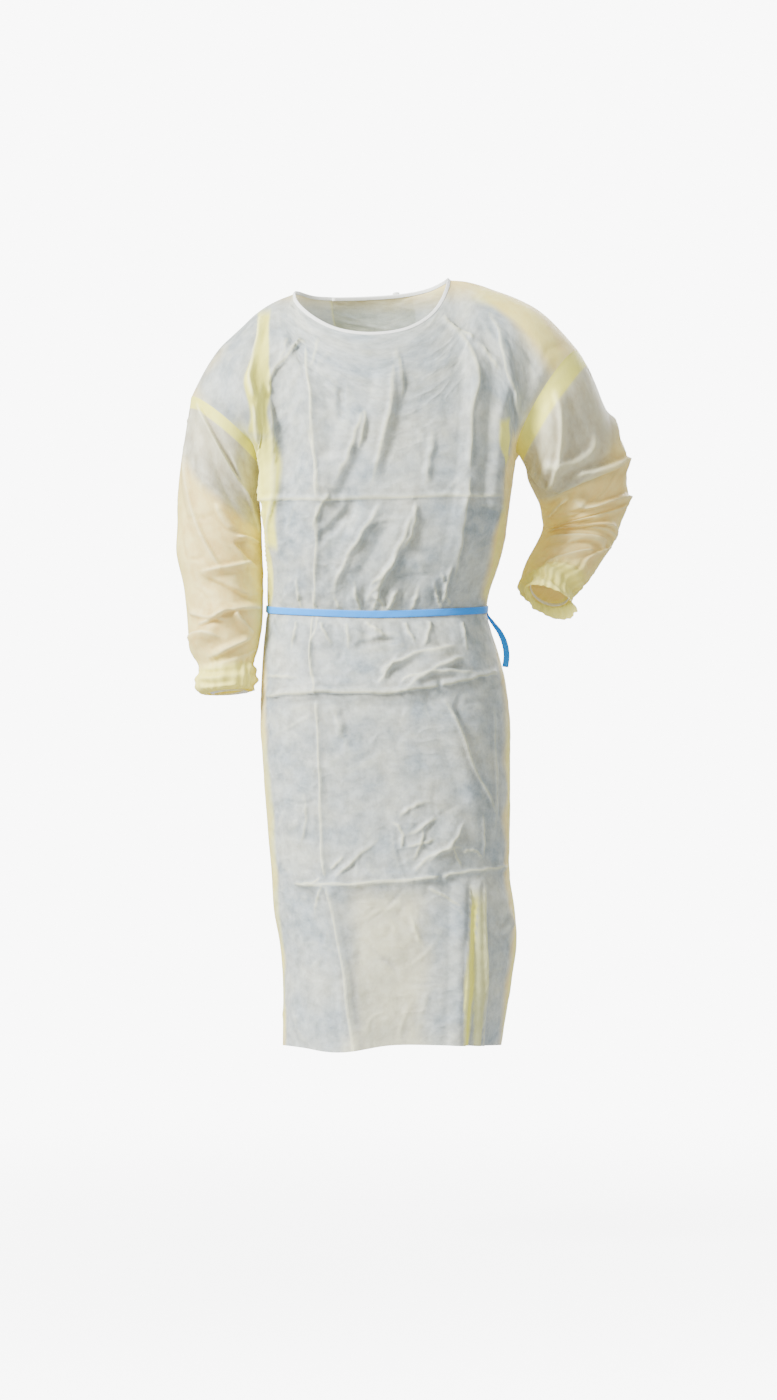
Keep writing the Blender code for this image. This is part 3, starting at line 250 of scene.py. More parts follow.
# The large folds, as in the solids: four points (x, z), the half width, the height (negative for a trough),
# how much steeper the side to the right of the path's run is, and the share of the length over which each end
# fades
FRONT_FOLDS = table(
    "x1 z1 x2 z2 x3 z3 x4 z4 width height steep fade_top fade_foot",
    [
        (-0.178, -0.070, -0.198, -0.180, -0.200, -0.340, -0.182, -0.480, 0.038, 0.027, -0.2, 0.40, 0.35),
        (-0.125, -0.120, -0.150, -0.180, -0.150, -0.300, -0.146, -0.440, 0.028, -0.010, 0.0, 0.3, 0.4),
        (-0.104, -0.110, -0.096, -0.230, -0.090, -0.380, -0.092, -0.500, 0.026, 0.008, 0.0, 0.2, 0.2),
        (0.135, -0.075, 0.168, -0.130, 0.165, -0.300, 0.130, -0.490, 0.030, 0.011, 0.2, 0.2, 0.3),
        (0.190, -0.040, 0.212, -0.130, 0.226, -0.250, 0.212, -0.430, 0.034, 0.018, 0.2, 0.25, 0.35),
        (0.238, -0.070, 0.244, -0.160, 0.240, -0.210, 0.232, -0.250, 0.028, -0.012, 0.0, 0.4, 0.3),
        (0.040, -0.120, 0.028, -0.190, 0.004, -0.290, -0.010, -0.340, 0.028, 0.010, -0.2, 0.2, 0.4),
        (-0.013, -0.195, -0.035, -0.265, -0.070, -0.330, -0.092, -0.400, 0.028, 0.011, -0.2, 0.2, 0.4),
        (0.075, -0.340, 0.040, -0.420, 0.000, -0.480, -0.020, -0.510, 0.028, 0.008, 0.0, 0.3, 0.3),
        (0.015, -0.350, -0.020, -0.410, -0.050, -0.470, -0.075, -0.505, 0.028, 0.008, 0.0, 0.3, 0.3),
        (0.160, -0.590, 0.110, -0.605, 0.060, -0.640, 0.030, -0.655, 0.030, 0.008, 0.0, 0.3, 0.3),
        (-0.165, -0.652, -0.080, -0.648, 0.060, -0.650, 0.200, -0.616, 0.024, 0.006, 0.0, 0.15, 0.15),
        (0.105, -0.655, 0.140, -0.720, 0.180, -0.820, 0.208, -0.870, 0.026, 0.007, 0.0, 0.3, 0.3),
        (0.150, -0.840, 0.125, -0.895, 0.095, -0.925, 0.080, -0.960, 0.028, 0.008, 0.0, 0.3, 0.3),
        (-0.130, -0.955, -0.050, -0.952, 0.030, -0.950, 0.140, -0.936, 0.026, 0.005, 0.0, 0.2, 0.2),
        (-0.078, -0.935, -0.062, -1.020, -0.043, -1.110, -0.028, -1.230, 0.030, 0.011, 0.2, 0.2, 0.0),
        (0.156, -0.935, 0.151, -1.030, 0.149, -1.120, 0.148, -1.230, 0.021, 0.012, -0.2, 0.12, 0.0),
        (0.188, -0.930, 0.186, -1.030, 0.188, -1.120, 0.190, -1.230, 0.021, 0.010, 0.2, 0.12, 0.0),
        (0.060, -0.990, 0.060, -1.060, 0.055, -1.140, 0.055, -1.230, 0.060, -0.007, 0.0, 0.5, 0.0),
        (-0.115, -1.000, -0.105, -1.060, -0.095, -1.140, -0.090, -1.230, 0.040, 0.005, 0.0, 0.5, 0.0),
    ],
)
BACK_FOLDS = table(
    "x1 z1 x2 z2 x3 z3 x4 z4 width height steep fade_top fade_foot",
    [
        (-0.175, -0.060, -0.176, -0.170, -0.165, -0.320, -0.145, -0.470, 0.036, 0.014, -0.4, 0.3, 0.35),
        (0.195, -0.035, 0.205, -0.150, 0.198, -0.320, 0.165, -0.470, 0.036, 0.014, 0.4, 0.3, 0.35),
        (-0.090, -0.070, -0.100, -0.200, -0.095, -0.350, -0.070, -0.500, 0.030, 0.007, 0.0, 0.3, 0.3),
        (0.110, -0.060, 0.120, -0.200, 0.120, -0.350, 0.095, -0.500, 0.030, 0.007, 0.0, 0.3, 0.3),
        (-0.110, -0.550, -0.115, -0.700, -0.110, -0.950, -0.095, -1.230, 0.040, 0.011, 0.0, 0.3, 0.0),
        (0.120, -0.550, 0.130, -0.700, 0.150, -0.950, 0.150, -1.230, 0.040, 0.011, 0.0, 0.3, 0.0),
        (-0.050, -0.600, -0.050, -0.800, -0.045, -1.000, -0.040, -1.230, 0.035, -0.008, 0.0, 0.4, 0.0),
        (0.075, -0.620, 0.085, -0.800, 0.095, -1.000, 0.095, -1.230, 0.035, -0.008, 0.0, 0.4, 0.0),
    ],
)
WAIST_GATHERS = table(
    "turn width height",
    [
        (-58, 7, 0.004), (-38, 6, 0.005), (-17, 6, 0.005), (-2, 6, 0.004), (12, 6, 0.005), (33, 6, 0.004),
        (55, 8, 0.004), (112, 8, 0.005), (135, 8, 0.005), (157, 7, 0.004), (203, 7, 0.004), (226, 8, 0.005),
        (250, 8, 0.005),
    ],
)
RIGHT_SLEEVE_FOLDS = table(
    "down1 round1 down2 round2 width height",
    [
        (0.010, 30, 0.230, 150, 0.022, 0.009),
        (0.190, 140, 0.240, 185, 0.018, 0.007),
        (0.245, 110, 0.290, 190, 0.018, -0.007),
        (0.300, 60, 0.330, 150, 0.022, 0.006),
        (0.350, 20, 0.335, 90, 0.016, 0.006),
        (0.385, 60, 0.360, 160, 0.018, 0.006),
        (0.050, 200, 0.230, 250, 0.026, 0.008),
        (0.240, 210, 0.280, 320, 0.024, 0.007),
        (0.320, 220, 0.350, 330, 0.022, 0.006),
    ],
)
LEFT_SLEEVE_FOLDS = table(
    "down1 round1 down2 round2 width height",
    [
        (0.005, 70, 0.090, 150, 0.026, 0.010),
        (0.105, 150, 0.140, 60, 0.022, -0.005),
        (0.155, 0, 0.195, 130, 0.026, 0.009),
        (0.205, 10, 0.205, 120, 0.020, 0.005),
        (0.238, 20, 0.236, 150, 0.024, 0.008),
        (0.280, 30, 0.262, 150, 0.022, 0.006),
        (0.315, 30, 0.300, 150, 0.020, 0.004),
        (0.150, 300, 0.170, 220, 0.028, 0.007),
        (0.235, 310, 0.245, 210, 0.028, 0.007),
    ],
)

# The fine creases of the body: path, half width, height, how much steeper the side to the right of the path's
# run is, how sharp the crest is (0 is round, 1 is a crisp line), and the share over which each end fades
FRONT_CREASES = table(
    "x1 z1 x2 z2 x3 z3 x4 z4 width height steep sharp fade_top fade_foot",
    [
        (-0.107, -0.084, -0.099, -0.178, -0.100, -0.240, -0.090, -0.350, 0.007, 0.0016, 0.3, 1.0, 0.15, 0.05),
        (-0.090, -0.350, -0.100, -0.506, -0.109, -0.584, -0.097, -0.662, 0.007, 0.0016, 0.3, 1.0, 0.05, 0.05),
        (-0.097, -0.662, -0.091, -0.803, -0.088, -0.913, -0.083, -0.944, 0.007, 0.0022, 0.4, 1.0, 0.05, 0.05),
        (-0.083, -0.944, -0.062, -1.022, -0.044, -1.116, -0.029, -1.225, 0.010, 0.0024, 0.5, 0.8, 0.10, 0.00),
        (-0.085, -0.089, -0.087, -0.107, -0.092, -0.128, -0.095, -0.147, 0.005, 0.0010, 0.0, 0.6, 0.20, 0.40),
        (-0.012, -0.206, -0.024, -0.240, -0.035, -0.272, -0.069, -0.334, 0.010, 0.0016, 0.3, 0.8, 0.15, 0.50),
        (0.038, -0.107, 0.029, -0.193, 0.005, -0.303, -0.006, -0.342, 0.010, 0.0016, 0.3, 0.8, 0.30, 0.30),
        (0.018, -0.350, -0.015, -0.400, -0.043, -0.444, -0.070, -0.506, 0.009, 0.0024, 0.3, 0.7, 0.20, 0.30),
        (0.073, -0.350, 0.044, -0.420, 0.013, -0.475, -0.019, -0.522, 0.010, 0.0026, 0.3, 0.7, 0.30, 0.30),
        (-0.254, -0.345, -0.051, -0.348, 0.076, -0.344, 0.256, -0.340, 0.006, 0.0014, 0.5, 1.0, 0.10, 0.10),
        (0.112, -0.051, 0.162, -0.123, 0.163, -0.208, 0.165, -0.308, 0.009, 0.0018, -0.3, 0.8, 0.20, 0.10),
        (0.165, -0.308, 0.154, -0.367, 0.144, -0.458, 0.137, -0.497, 0.009, 0.0016, -0.3, 0.8, 0.10, 0.40),
        (0.182, -0.039, 0.199, -0.084, 0.210, -0.143, 0.270, -0.239, 0.010, 0.0022, 0.6, 0.7, 0.20, 0.30),
        (0.162, -0.093, 0.176, -0.112, 0.191, -0.132, 0.207, -0.153, 0.007, 0.0020, 0.0, 0.7, 0.40, 0.40),
        (0.177, -0.592, 0.114, -0.608, 0.069, -0.634, 0.037, -0.655, 0.008, 0.0026, 0.3, 0.7, 0.30, 0.40),
        (0.045, -0.584, 0.032, -0.605, 0.019, -0.625, 0.005, -0.647, 0.007, 0.0020, 0.3, 0.7, 0.40, 0.40),
        (-0.240, -0.658, -0.089, -0.650, 0.037, -0.650, 0.113, -0.639, 0.007, 0.0026, 0.6, 1.0, 0.10, 0.03),
        (0.113, -0.639, 0.156, -0.633, 0.203, -0.625, 0.262, -0.619, 0.007, 0.0024, 0.6, 1.0, 0.03, 0.15),
        (-0.242, -0.623, -0.192, -0.625, -0.157, -0.626, -0.129, -0.628, 0.005, 0.0014, 0.0, 0.8, 0.40, 0.40),
        (0.113, -0.655, 0.141, -0.694, 0.171, -0.756, 0.260, -0.866, 0.008, 0.0022, 0.4, 0.9, 0.20, 0.30),
        (0.161, -0.850, 0.131, -0.889, 0.094, -0.913, 0.085, -0.928, 0.007, 0.0022, 0.3, 0.8, 0.30, 0.40),
        (0.131, -0.889, 0.138, -0.902, 0.148, -0.916, 0.156, -0.928, 0.005, 0.0016, 0.0, 0.8, 0.30, 0.30),
        (0.037, -0.853, 0.052, -0.837, 0.069, -0.827, 0.098, -0.819, 0.006, 0.0016, 0.0, 0.7, 0.40, 0.40),
        (0.044, -0.878, 0.067, -0.869, 0.094, -0.853, 0.123, -0.837, 0.006, 0.0016, 0.0, 0.7, 0.40, 0.40),
        (-0.165, -0.952, -0.046, -0.950, 0.044, -0.944, 0.112, -0.938, 0.007, 0.0022, -0.5, 1.0, 0.15, 0.05),
        (0.112, -0.938, 0.161, -0.931, 0.220, -0.928, 0.312, -0.925, 0.007, 0.0018, -0.5, 1.0, 0.05, 0.20),
        (0.172, -0.944, 0.161, -1.022, 0.156, -1.116, 0.155, -1.225, 0.009, 0.0020, 0.7, 0.8, 0.12, 0.00),
        (0.202, -0.936, 0.196, -1.022, 0.200, -1.116, 0.206, -1.225, 0.009, 0.0020, 0.7, 0.8, 0.12, 0.00),
        (0.247, -0.983, 0.264, -1.003, 0.278, -1.025, 0.297, -1.053, 0.030, 0.0040, 0.0, 0.0, 0.50, 0.50),
        (-0.074, -0.950, -0.040, -0.922, -0.011, -0.897, 0.021, -0.873, 0.007, 0.0018, 0.3, 0.7, 0.30, 0.50),
        (0.060, -0.944, 0.085, -0.913, 0.121, -0.897, 0.171, -0.891, 0.006, 0.0014, 0.0, 0.7, 0.30, 0.40),
        (-0.140, -0.462, -0.137, -0.482, -0.132, -0.503, -0.126, -0.522, 0.006, 0.0020, 0.0, 0.9, 0.50, 0.10),
        (-0.107, -0.482, -0.103, -0.496, -0.099, -0.511, -0.096, -0.525, 0.005, 0.0016, 0.0, 0.9, 0.50, 0.10),
        (-0.065, -0.493, -0.060, -0.504, -0.055, -0.515, -0.046, -0.527, 0.006, 0.0018, 0.0, 0.8, 0.50, 0.10),
        (-0.028, -0.470, -0.027, -0.488, -0.023, -0.506, -0.017, -0.525, 0.006, 0.0022, 0.0, 0.8, 0.50, 0.10),
        (0.012, -0.470, 0.010, -0.488, 0.007, -0.506, 0.001, -0.525, 0.007, 0.0022, 0.0, 0.8, 0.50, 0.10),
        (0.042, -0.482, 0.037, -0.498, 0.029, -0.512, 0.020, -0.525, 0.006, 0.0018, 0.0, 0.8, 0.50, 0.10),
        (0.077, -0.478, 0.074, -0.495, 0.069, -0.511, 0.063, -0.525, 0.006, 0.0018, 0.0, 0.8, 0.50, 0.10),
        (0.101, -0.470, 0.106, -0.488, 0.113, -0.506, 0.121, -0.522, 0.006, 0.0020, 0.0, 0.9, 0.50, 0.10),
        (0.138, -0.438, 0.133, -0.458, 0.127, -0.482, 0.122, -0.511, 0.006, 0.0020, 0.0, 0.9, 0.50, 0.10),
        (-0.137, -0.538, -0.140, -0.552, -0.145, -0.568, -0.152, -0.587, 0.006, 0.0020, 0.0, 0.9, 0.10, 0.50),
        (-0.089, -0.539, -0.083, -0.552, -0.075, -0.565, -0.065, -0.579, 0.006, 0.0018, 0.0, 0.8, 0.10, 0.50),
        (-0.043, -0.541, -0.039, -0.555, -0.038, -0.570, -0.039, -0.587, 0.006, 0.0018, 0.0, 0.8, 0.10, 0.50),
        (-0.011, -0.539, 0.002, -0.549, 0.017, -0.559, 0.033, -0.567, 0.006, 0.0020, 0.0, 0.8, 0.10, 0.50),
        (0.053, -0.539, 0.058, -0.552, 0.066, -0.565, 0.077, -0.576, 0.006, 0.0018, 0.0, 0.8, 0.10, 0.50),
        (0.098, -0.538, 0.095, -0.552, 0.090, -0.567, 0.082, -0.583, 0.006, 0.0018, 0.0, 0.8, 0.10, 0.50),
        (0.165, -0.538, 0.165, -0.554, 0.169, -0.570, 0.173, -0.587, 0.006, 0.0020, 0.0, 0.9, 0.10, 0.50),
        (-0.094, -0.523, -0.096, -0.547, -0.109, -0.578, -0.105, -0.637, 0.005, 0.0016, 0.4, 1.0, 0.10, 0.10),
        (0.013, -0.634, 0.018, -0.617, 0.048, -0.598, 0.158, -0.576, 0.009, 0.0026, -0.4, 0.8, 0.20, 0.30),
        (0.038, -0.645, 0.053, -0.630, 0.093, -0.620, 0.204, -0.620, 0.007, 0.0020, -0.4, 0.8, 0.20, 0.30),
        (-0.027, -0.592, -0.022, -0.580, 0.010, -0.570, 0.053, -0.569, 0.008, -0.0020, 0.0, 0.3, 0.30, 0.30),
        (-0.067, -0.666, -0.056, -0.697, -0.046, -0.725, -0.032, -0.756, 0.012, 0.0018, 0.0, 0.2, 0.20, 0.60),
        (0.027, -0.850, 0.041, -0.859, 0.048, -0.872, 0.044, -0.900, 0.005, 0.0014, 0.0, 0.9, 0.30, 0.30),
        (0.052, -0.892, 0.070, -0.889, 0.091, -0.884, 0.108, -0.878, 0.005, 0.0014, 0.0, 0.9, 0.30, 0.30),
        (0.064, -0.916, 0.074, -0.897, 0.080, -0.881, 0.084, -0.859, 0.005, 0.0014, 0.0, 0.9, 0.30, 0.30),
        (0.152, -0.902, 0.171, -0.898, 0.190, -0.902, 0.204, -0.916, 0.005, 0.0014, 0.0, 0.9, 0.20, 0.30),
        (0.199, -0.837, 0.204, -0.862, 0.207, -0.889, 0.204, -0.916, 0.005, 0.0012, 0.0, 0.8, 0.30, 0.30),
        (0.233, -0.662, 0.236, -0.725, 0.239, -0.803, 0.237, -0.881, 0.008, 0.0014, 0.3, 0.5, 0.30, 0.30),
        (0.087, -0.953, 0.112, -0.966, 0.134, -0.977, 0.157, -0.992, 0.005, 0.0014, 0.0, 0.9, 0.20, 0.40),
        (0.060, -0.994, 0.067, -1.016, 0.073, -1.034, 0.085, -1.053, 0.006, 0.0012, 0.0, 0.7, 0.30, 0.40),
        (-0.075, -0.928, -0.065, -0.922, -0.056, -0.914, -0.045, -0.906, 0.005, 0.0014, 0.0, 0.9, 0.20, 0.30),
        (-0.083, -0.950, -0.094, -0.964, -0.103, -0.981, -0.108, -1.003, 0.006, 0.0014, 0.0, 0.8, 0.10, 0.50),
        (-0.136, -0.897, -0.126, -0.873, -0.120, -0.842, -0.126, -0.803, 0.007, 0.0014, 0.3, 0.5, 0.30, 0.40),
        (-0.156, -0.950, -0.131, -0.950, -0.108, -0.948, -0.089, -0.941, 0.006, 0.0018, -0.5, 1.0, 0.20, 0.10),
        (-0.129, -0.112, -0.123, -0.103, -0.115, -0.098, -0.104, -0.097, 0.006, 0.0018, 0.0, 0.8, 0.20, 0.10),
        (-0.109, -0.091, -0.135, -0.123, -0.157, -0.148, -0.167, -0.183, 0.006, 0.0024, -0.5, 0.9, 0.05, 0.10),
        (-0.167, -0.183, -0.181, -0.251, -0.183, -0.348, -0.215, -0.439, 0.006, 0.0018, -0.5, 0.9, 0.05, 0.20),
        (-0.175, -0.043, -0.184, -0.101, -0.196, -0.166, -0.198, -0.194, 0.007, 0.0026, 0.6, 0.8, 0.10, 0.10),
        (-0.198, -0.194, -0.210, -0.232, -0.217, -0.315, -0.208, -0.354, 0.006, 0.0020, 0.6, 0.8, 0.10, 0.10),
        (-0.208, -0.354, -0.218, -0.413, -0.226, -0.440, -0.230, -0.500, 0.006, 0.0020, 0.5, 0.9, 0.10, 0.10),
        (-0.046, -0.154, -0.050, -0.186, -0.049, -0.212, -0.045, -0.233, 0.009, -0.0018, 0.0, 0.3, 0.30, 0.40),
        (-0.109, -0.233, -0.099, -0.272, -0.091, -0.311, -0.087, -0.337, 0.005, 0.0014, 0.0, 1.0, 0.20, 0.10),
        (-0.012, -0.206, -0.011, -0.225, -0.016, -0.248, -0.024, -0.287, 0.006, 0.0016, 0.3, 0.9, 0.10, 0.50),
        (0.037, -0.107, 0.044, -0.131, 0.048, -0.170, 0.044, -0.209, 0.006, 0.0016, -0.3, 0.7, 0.20, 0.50),
        (0.092, -0.225, 0.096, -0.256, 0.089, -0.303, 0.084, -0.340, 0.010, 0.0016, 0.0, 0.3, 0.30, 0.30),
        (-0.069, -0.337, -0.083, -0.358, -0.094, -0.381, -0.102, -0.404, 0.006, 0.0018, 0.0, 0.9, 0.10, 0.40),
        (-0.023, -0.342, -0.043, -0.373, -0.078, -0.404, -0.101, -0.420, 0.012, -0.0022, 0.0, 0.2, 0.20, 0.30),
        (0.068, -0.350, 0.067, -0.381, 0.052, -0.420, 0.041, -0.431, 0.007, 0.0018, 0.3, 0.8, 0.20, 0.30),
        (0.041, -0.431, 0.029, -0.451, 0.005, -0.475, -0.011, -0.494, 0.006, 0.0016, 0.3, 0.8, 0.20, 0.40),
        (0.112, -0.051, 0.130, -0.073, 0.151, -0.084, 0.163, -0.093, 0.006, 0.0016, -0.3, 0.9, 0.20, 0.10),
        (0.113, -0.459, 0.122, -0.475, 0.128, -0.494, 0.138, -0.514, 0.006, 0.0016, 0.0, 0.8, 0.30, 0.10),
        (0.037, -0.490, 0.032, -0.503, 0.029, -0.514, 0.026, -0.523, 0.005, 0.0016, 0.0, 0.8, 0.30, 0.10),
        (0.001, -0.494, 0.010, -0.503, 0.016, -0.512, 0.019, -0.523, 0.005, 0.0016, 0.0, 0.8, 0.30, 0.10),
        (-0.134, -0.084, -0.137, -0.107, -0.140, -0.118, -0.149, -0.134, 0.008, 0.0014, 0.0, 0.5, 0.30, 0.40),
    ],
)
BACK_CREASES = table(
    "x1 z1 x2 z2 x3 z3 x4 z4 width height steep sharp fade_top fade_foot",
    [
        (-0.112, -0.050, -0.108, -0.150, -0.104, -0.260, -0.100, -0.345, 0.007, 0.0016, 0.3, 1.0, 0.20, 0.05),
        (-0.100, -0.345, -0.096, -0.440, -0.100, -0.560, -0.100, -0.650, 0.007, 0.0018, 0.3, 1.0, 0.05, 0.05),
        (-0.100, -0.650, -0.098, -0.760, -0.094, -0.880, -0.092, -0.945, 0.007, 0.0022, 0.4, 1.0, 0.05, 0.05),
        (-0.092, -0.945, -0.090, -1.030, -0.084, -1.120, -0.078, -1.240, 0.009, 0.0030, 0.5, 0.9, 0.05, 0.00),
        (0.150, -0.045, 0.158, -0.150, 0.162, -0.260, 0.158, -0.345, 0.007, 0.0016, -0.3, 1.0, 0.20, 0.05),
        (0.158, -0.345, 0.150, -0.440, 0.146, -0.560, 0.150, -0.650, 0.007, 0.0018, -0.3, 1.0, 0.05, 0.05),
        (0.150, -0.650, 0.154, -0.760, 0.160, -0.880, 0.164, -0.945, 0.007, 0.0022, -0.4, 1.0, 0.05, 0.05),
        (0.164, -0.945, 0.170, -1.030, 0.172, -1.120, 0.176, -1.240, 0.009, 0.0032, -0.5, 0.9, 0.05, 0.00),
        (-0.260, -0.342, -0.100, -0.345, 0.100, -0.347, 0.290, -0.342, 0.006, 0.0014, 0.5, 1.0, 0.12, 0.10),
        (-0.270, -0.652, -0.100, -0.650, 0.100, -0.648, 0.310, -0.654, 0.007, 0.0024, 0.6, 1.0, 0.12, 0.10),
        (-0.260, -0.948, -0.090, -0.945, 0.110, -0.947, 0.320, -0.944, 0.007, 0.0020, -0.5, 1.0, 0.12, 0.10),
        (-0.150, -0.080, -0.120, -0.180, -0.080, -0.280, -0.040, -0.380, 0.010, 0.0030, 0.3, 0.7, 0.30, 0.50),
        (0.170, -0.060, 0.140, -0.170, 0.090, -0.290, 0.040, -0.400, 0.010, 0.0030, -0.3, 0.7, 0.30, 0.50),
        (-0.200, -0.250, -0.170, -0.330, -0.140, -0.400, -0.110, -0.480, 0.009, 0.0026, 0.3, 0.7, 0.30, 0.40),
        (0.240, -0.240, 0.210, -0.320, 0.180, -0.400, 0.140, -0.480, 0.009, 0.0026, -0.3, 0.7, 0.30, 0.40),
        (-0.060, -0.580, -0.080, -0.610, -0.100, -0.640, -0.130, -0.690, 0.008, 0.0024, 0.0, 0.7, 0.30, 0.50),
        (0.060, -0.590, 0.090, -0.620, 0.110, -0.660, 0.130, -0.720, 0.008, 0.0024, 0.0, 0.7, 0.30, 0.50),
        (0.020, -0.700, 0.050, -0.760, 0.070, -0.810, 0.110, -0.880, 0.008, 0.0020, 0.4, 0.8, 0.30, 0.40),
        (-0.030, -0.960, -0.060, -0.930, -0.100, -0.900, -0.150, -0.880, 0.007, 0.0020, 0.0, 0.7, 0.30, 0.40),
        (0.060, -0.945, 0.090, -0.915, 0.120, -0.890, 0.170, -0.870, 0.006, 0.0018, 0.0, 0.7, 0.30, 0.40),
        (0.230, -0.950, 0.228, -1.040, 0.226, -1.130, 0.222, -1.240, 0.010, 0.0034, 0.6, 0.8, 0.15, 0.00),
        (-0.190, -0.960, -0.186, -1.050, -0.180, -1.140, -0.176, -1.240, 0.010, 0.0034, -0.6, 0.8, 0.15, 0.00),
    ],
)

# Fine creases of the sleeves: a path as distances down and angles round (0 outside, 90 in front, 180 inside,
# 270 behind), the half width, the height and how sharp the crest is
RIGHT_SLEEVE_CREASES = table(
    "down1 round1 down2 round2 down3 round3 down4 round4 width height sharp",
    [
        (0.002, 26, 0.026, 61, 0.065, 116, 0.097, 157, 0.008, 0.0034, 0.9),
        (0.126, 89, 0.140, 90, 0.154, 98, 0.167, 110, 0.008, 0.0018, 0.4),
        (0.174, 112, 0.168, 124, 0.165, 140, 0.167, 162, 0.006, 0.0030, 0.9),
        (0.180, 112, 0.194, 124, 0.206, 138, 0.212, 160, 0.010, -0.0032, 0.3),
        (0.248, 55, 0.265, 89, 0.281, 126, 0.272, 164, 0.010, -0.0024, 0.3),
        (0.327, 44, 0.325, 62, 0.316, 84, 0.303, 101, 0.006, 0.0024, 0.9),
        (0.301, 108, 0.317, 113, 0.331, 127, 0.339, 150, 0.006, 0.0020, 0.8),
        (0.374, 48, 0.373, 76, 0.364, 106, 0.344, 146, 0.006, 0.0024, 0.9),
        (0.384, 49, 0.384, 85, 0.378, 125, 0.362, 173, 0.006, 0.0020, 0.8),
        (0.030, 95, 0.068, 126, 0.112, 149, 0.160, 165, 0.009, 0.0024, 0.7),
        (0.060, 15, 0.124, 42, 0.188, 70, 0.250, 100, 0.008, 0.0020, 0.7),
        (0.205, 150, 0.222, 121, 0.235, 91, 0.245, 60, 0.007, 0.0022, 0.7),
        (0.290, 170, 0.297, 136, 0.306, 103, 0.318, 70, 0.007, 0.0024, 0.8),
        (0.300, 20, 0.311, 46, 0.319, 73, 0.325, 100, 0.006, 0.0018, 0.7),
        (0.345, 10, 0.338, 37, 0.340, 64, 0.352, 90, 0.006, 0.0020, 0.7),
        (0.040, 215, 0.094, 249, 0.154, 264, 0.220, 260, 0.009, 0.0030, 0.8),
        (0.080, 320, 0.126, 282, 0.179, 255, 0.240, 240, 0.009, 0.0024, 0.7),
        (0.215, 330, 0.234, 295, 0.246, 258, 0.250, 220, 0.008, 0.0026, 0.8),
        (0.255, 210, 0.259, 245, 0.271, 279, 0.290, 310, 0.008, 0.0024, 0.7),
        (0.300, 340, 0.292, 301, 0.299, 265, 0.320, 230, 0.007, 0.0022, 0.7),
        (0.335, 215, 0.341, 250, 0.347, 285, 0.355, 320, 0.006, 0.0020, 0.7),
    ],
)
LEFT_SLEEVE_CREASES = table(
    "down1 round1 down2 round2 down3 round3 down4 round4 width height sharp",
    [
        (0.073, 54, 0.081, 72, 0.078, 90, 0.048, 131, 0.008, 0.0028, 0.8),
        (0.098, -14, 0.100, 10, 0.115, 30, 0.144, 22, 0.008, 0.0022, 0.5),
        (0.151, 7, 0.116, 69, 0.092, 99, 0.094, 114, 0.008, 0.0034, 0.9),
        (0.138, 37, 0.116, 85, 0.105, 124, 0.114, 144, 0.008, 0.0034, 0.9),
        (0.204, 3, 0.172, 73, 0.147, 102, 0.130, 119, 0.008, 0.0036, 0.9),
        (0.130, 119, 0.133, 130, 0.146, 140, 0.168, 146, 0.007, 0.0030, 0.9),
        (0.043, 161, 0.060, 155, 0.076, 149, 0.091, 142, 0.009, 0.0020, 0.3),
        (0.259, 13, 0.242, 71, 0.251, 93, 0.230, 156, 0.007, 0.0030, 0.9),
        (0.267, 12, 0.300, 38, 0.332, 58, 0.360, 54, 0.008, 0.0022, 0.7),
        (0.344, 134, 0.334, 112, 0.320, 80, 0.303, 48, 0.006, 0.0022, 0.8),
        (0.354, 131, 0.368, 112, 0.380, 94, 0.393, 69, 0.006, 0.0018, 0.7),
        (0.368, 173, 0.381, 91, 0.383, 43, 0.390, 15, 0.006, 0.0020, 0.8),
        (0.010, 75, 0.045, 94, 0.074, 119, 0.095, 150, 0.009, 0.0030, 0.8),
        (0.262, 10, 0.259, 37, 0.257, 63, 0.256, 90, 0.007, 0.0020, 0.7),
        (0.282, 35, 0.280, 74, 0.274, 112, 0.264, 150, 0.007, 0.0026, 0.8),
        (0.302, 20, 0.290, 49, 0.287, 79, 0.292, 110, 0.006, 0.0020, 0.7),
        (0.205, 15, 0.210, 50, 0.210, 85, 0.207, 120, 0.007, 0.0022, 0.8),
        (0.222, 165, 0.212, 130, 0.212, 95, 0.222, 60, 0.007, 0.0020, 0.7),
        (0.020, 330, 0.060, 306, 0.100, 283, 0.140, 260, 0.009, 0.0030, 0.8),
        (0.150, 305, 0.152, 276, 0.159, 247, 0.172, 220, 0.009, 0.0030, 0.8),
        (0.190, 340, 0.189, 306, 0.192, 273, 0.200, 240, 0.008, 0.0024, 0.7),
        (0.236, 310, 0.251, 278, 0.254, 246, 0.246, 212, 0.008, 0.0028, 0.8),
        (0.270, 340, 0.266, 303, 0.269, 266, 0.280, 230, 0.007, 0.0022, 0.7),
        (0.300, 320, 0.300, 287, 0.302, 253, 0.306, 220, 0.006, 0.0020, 0.7),
    ],
)

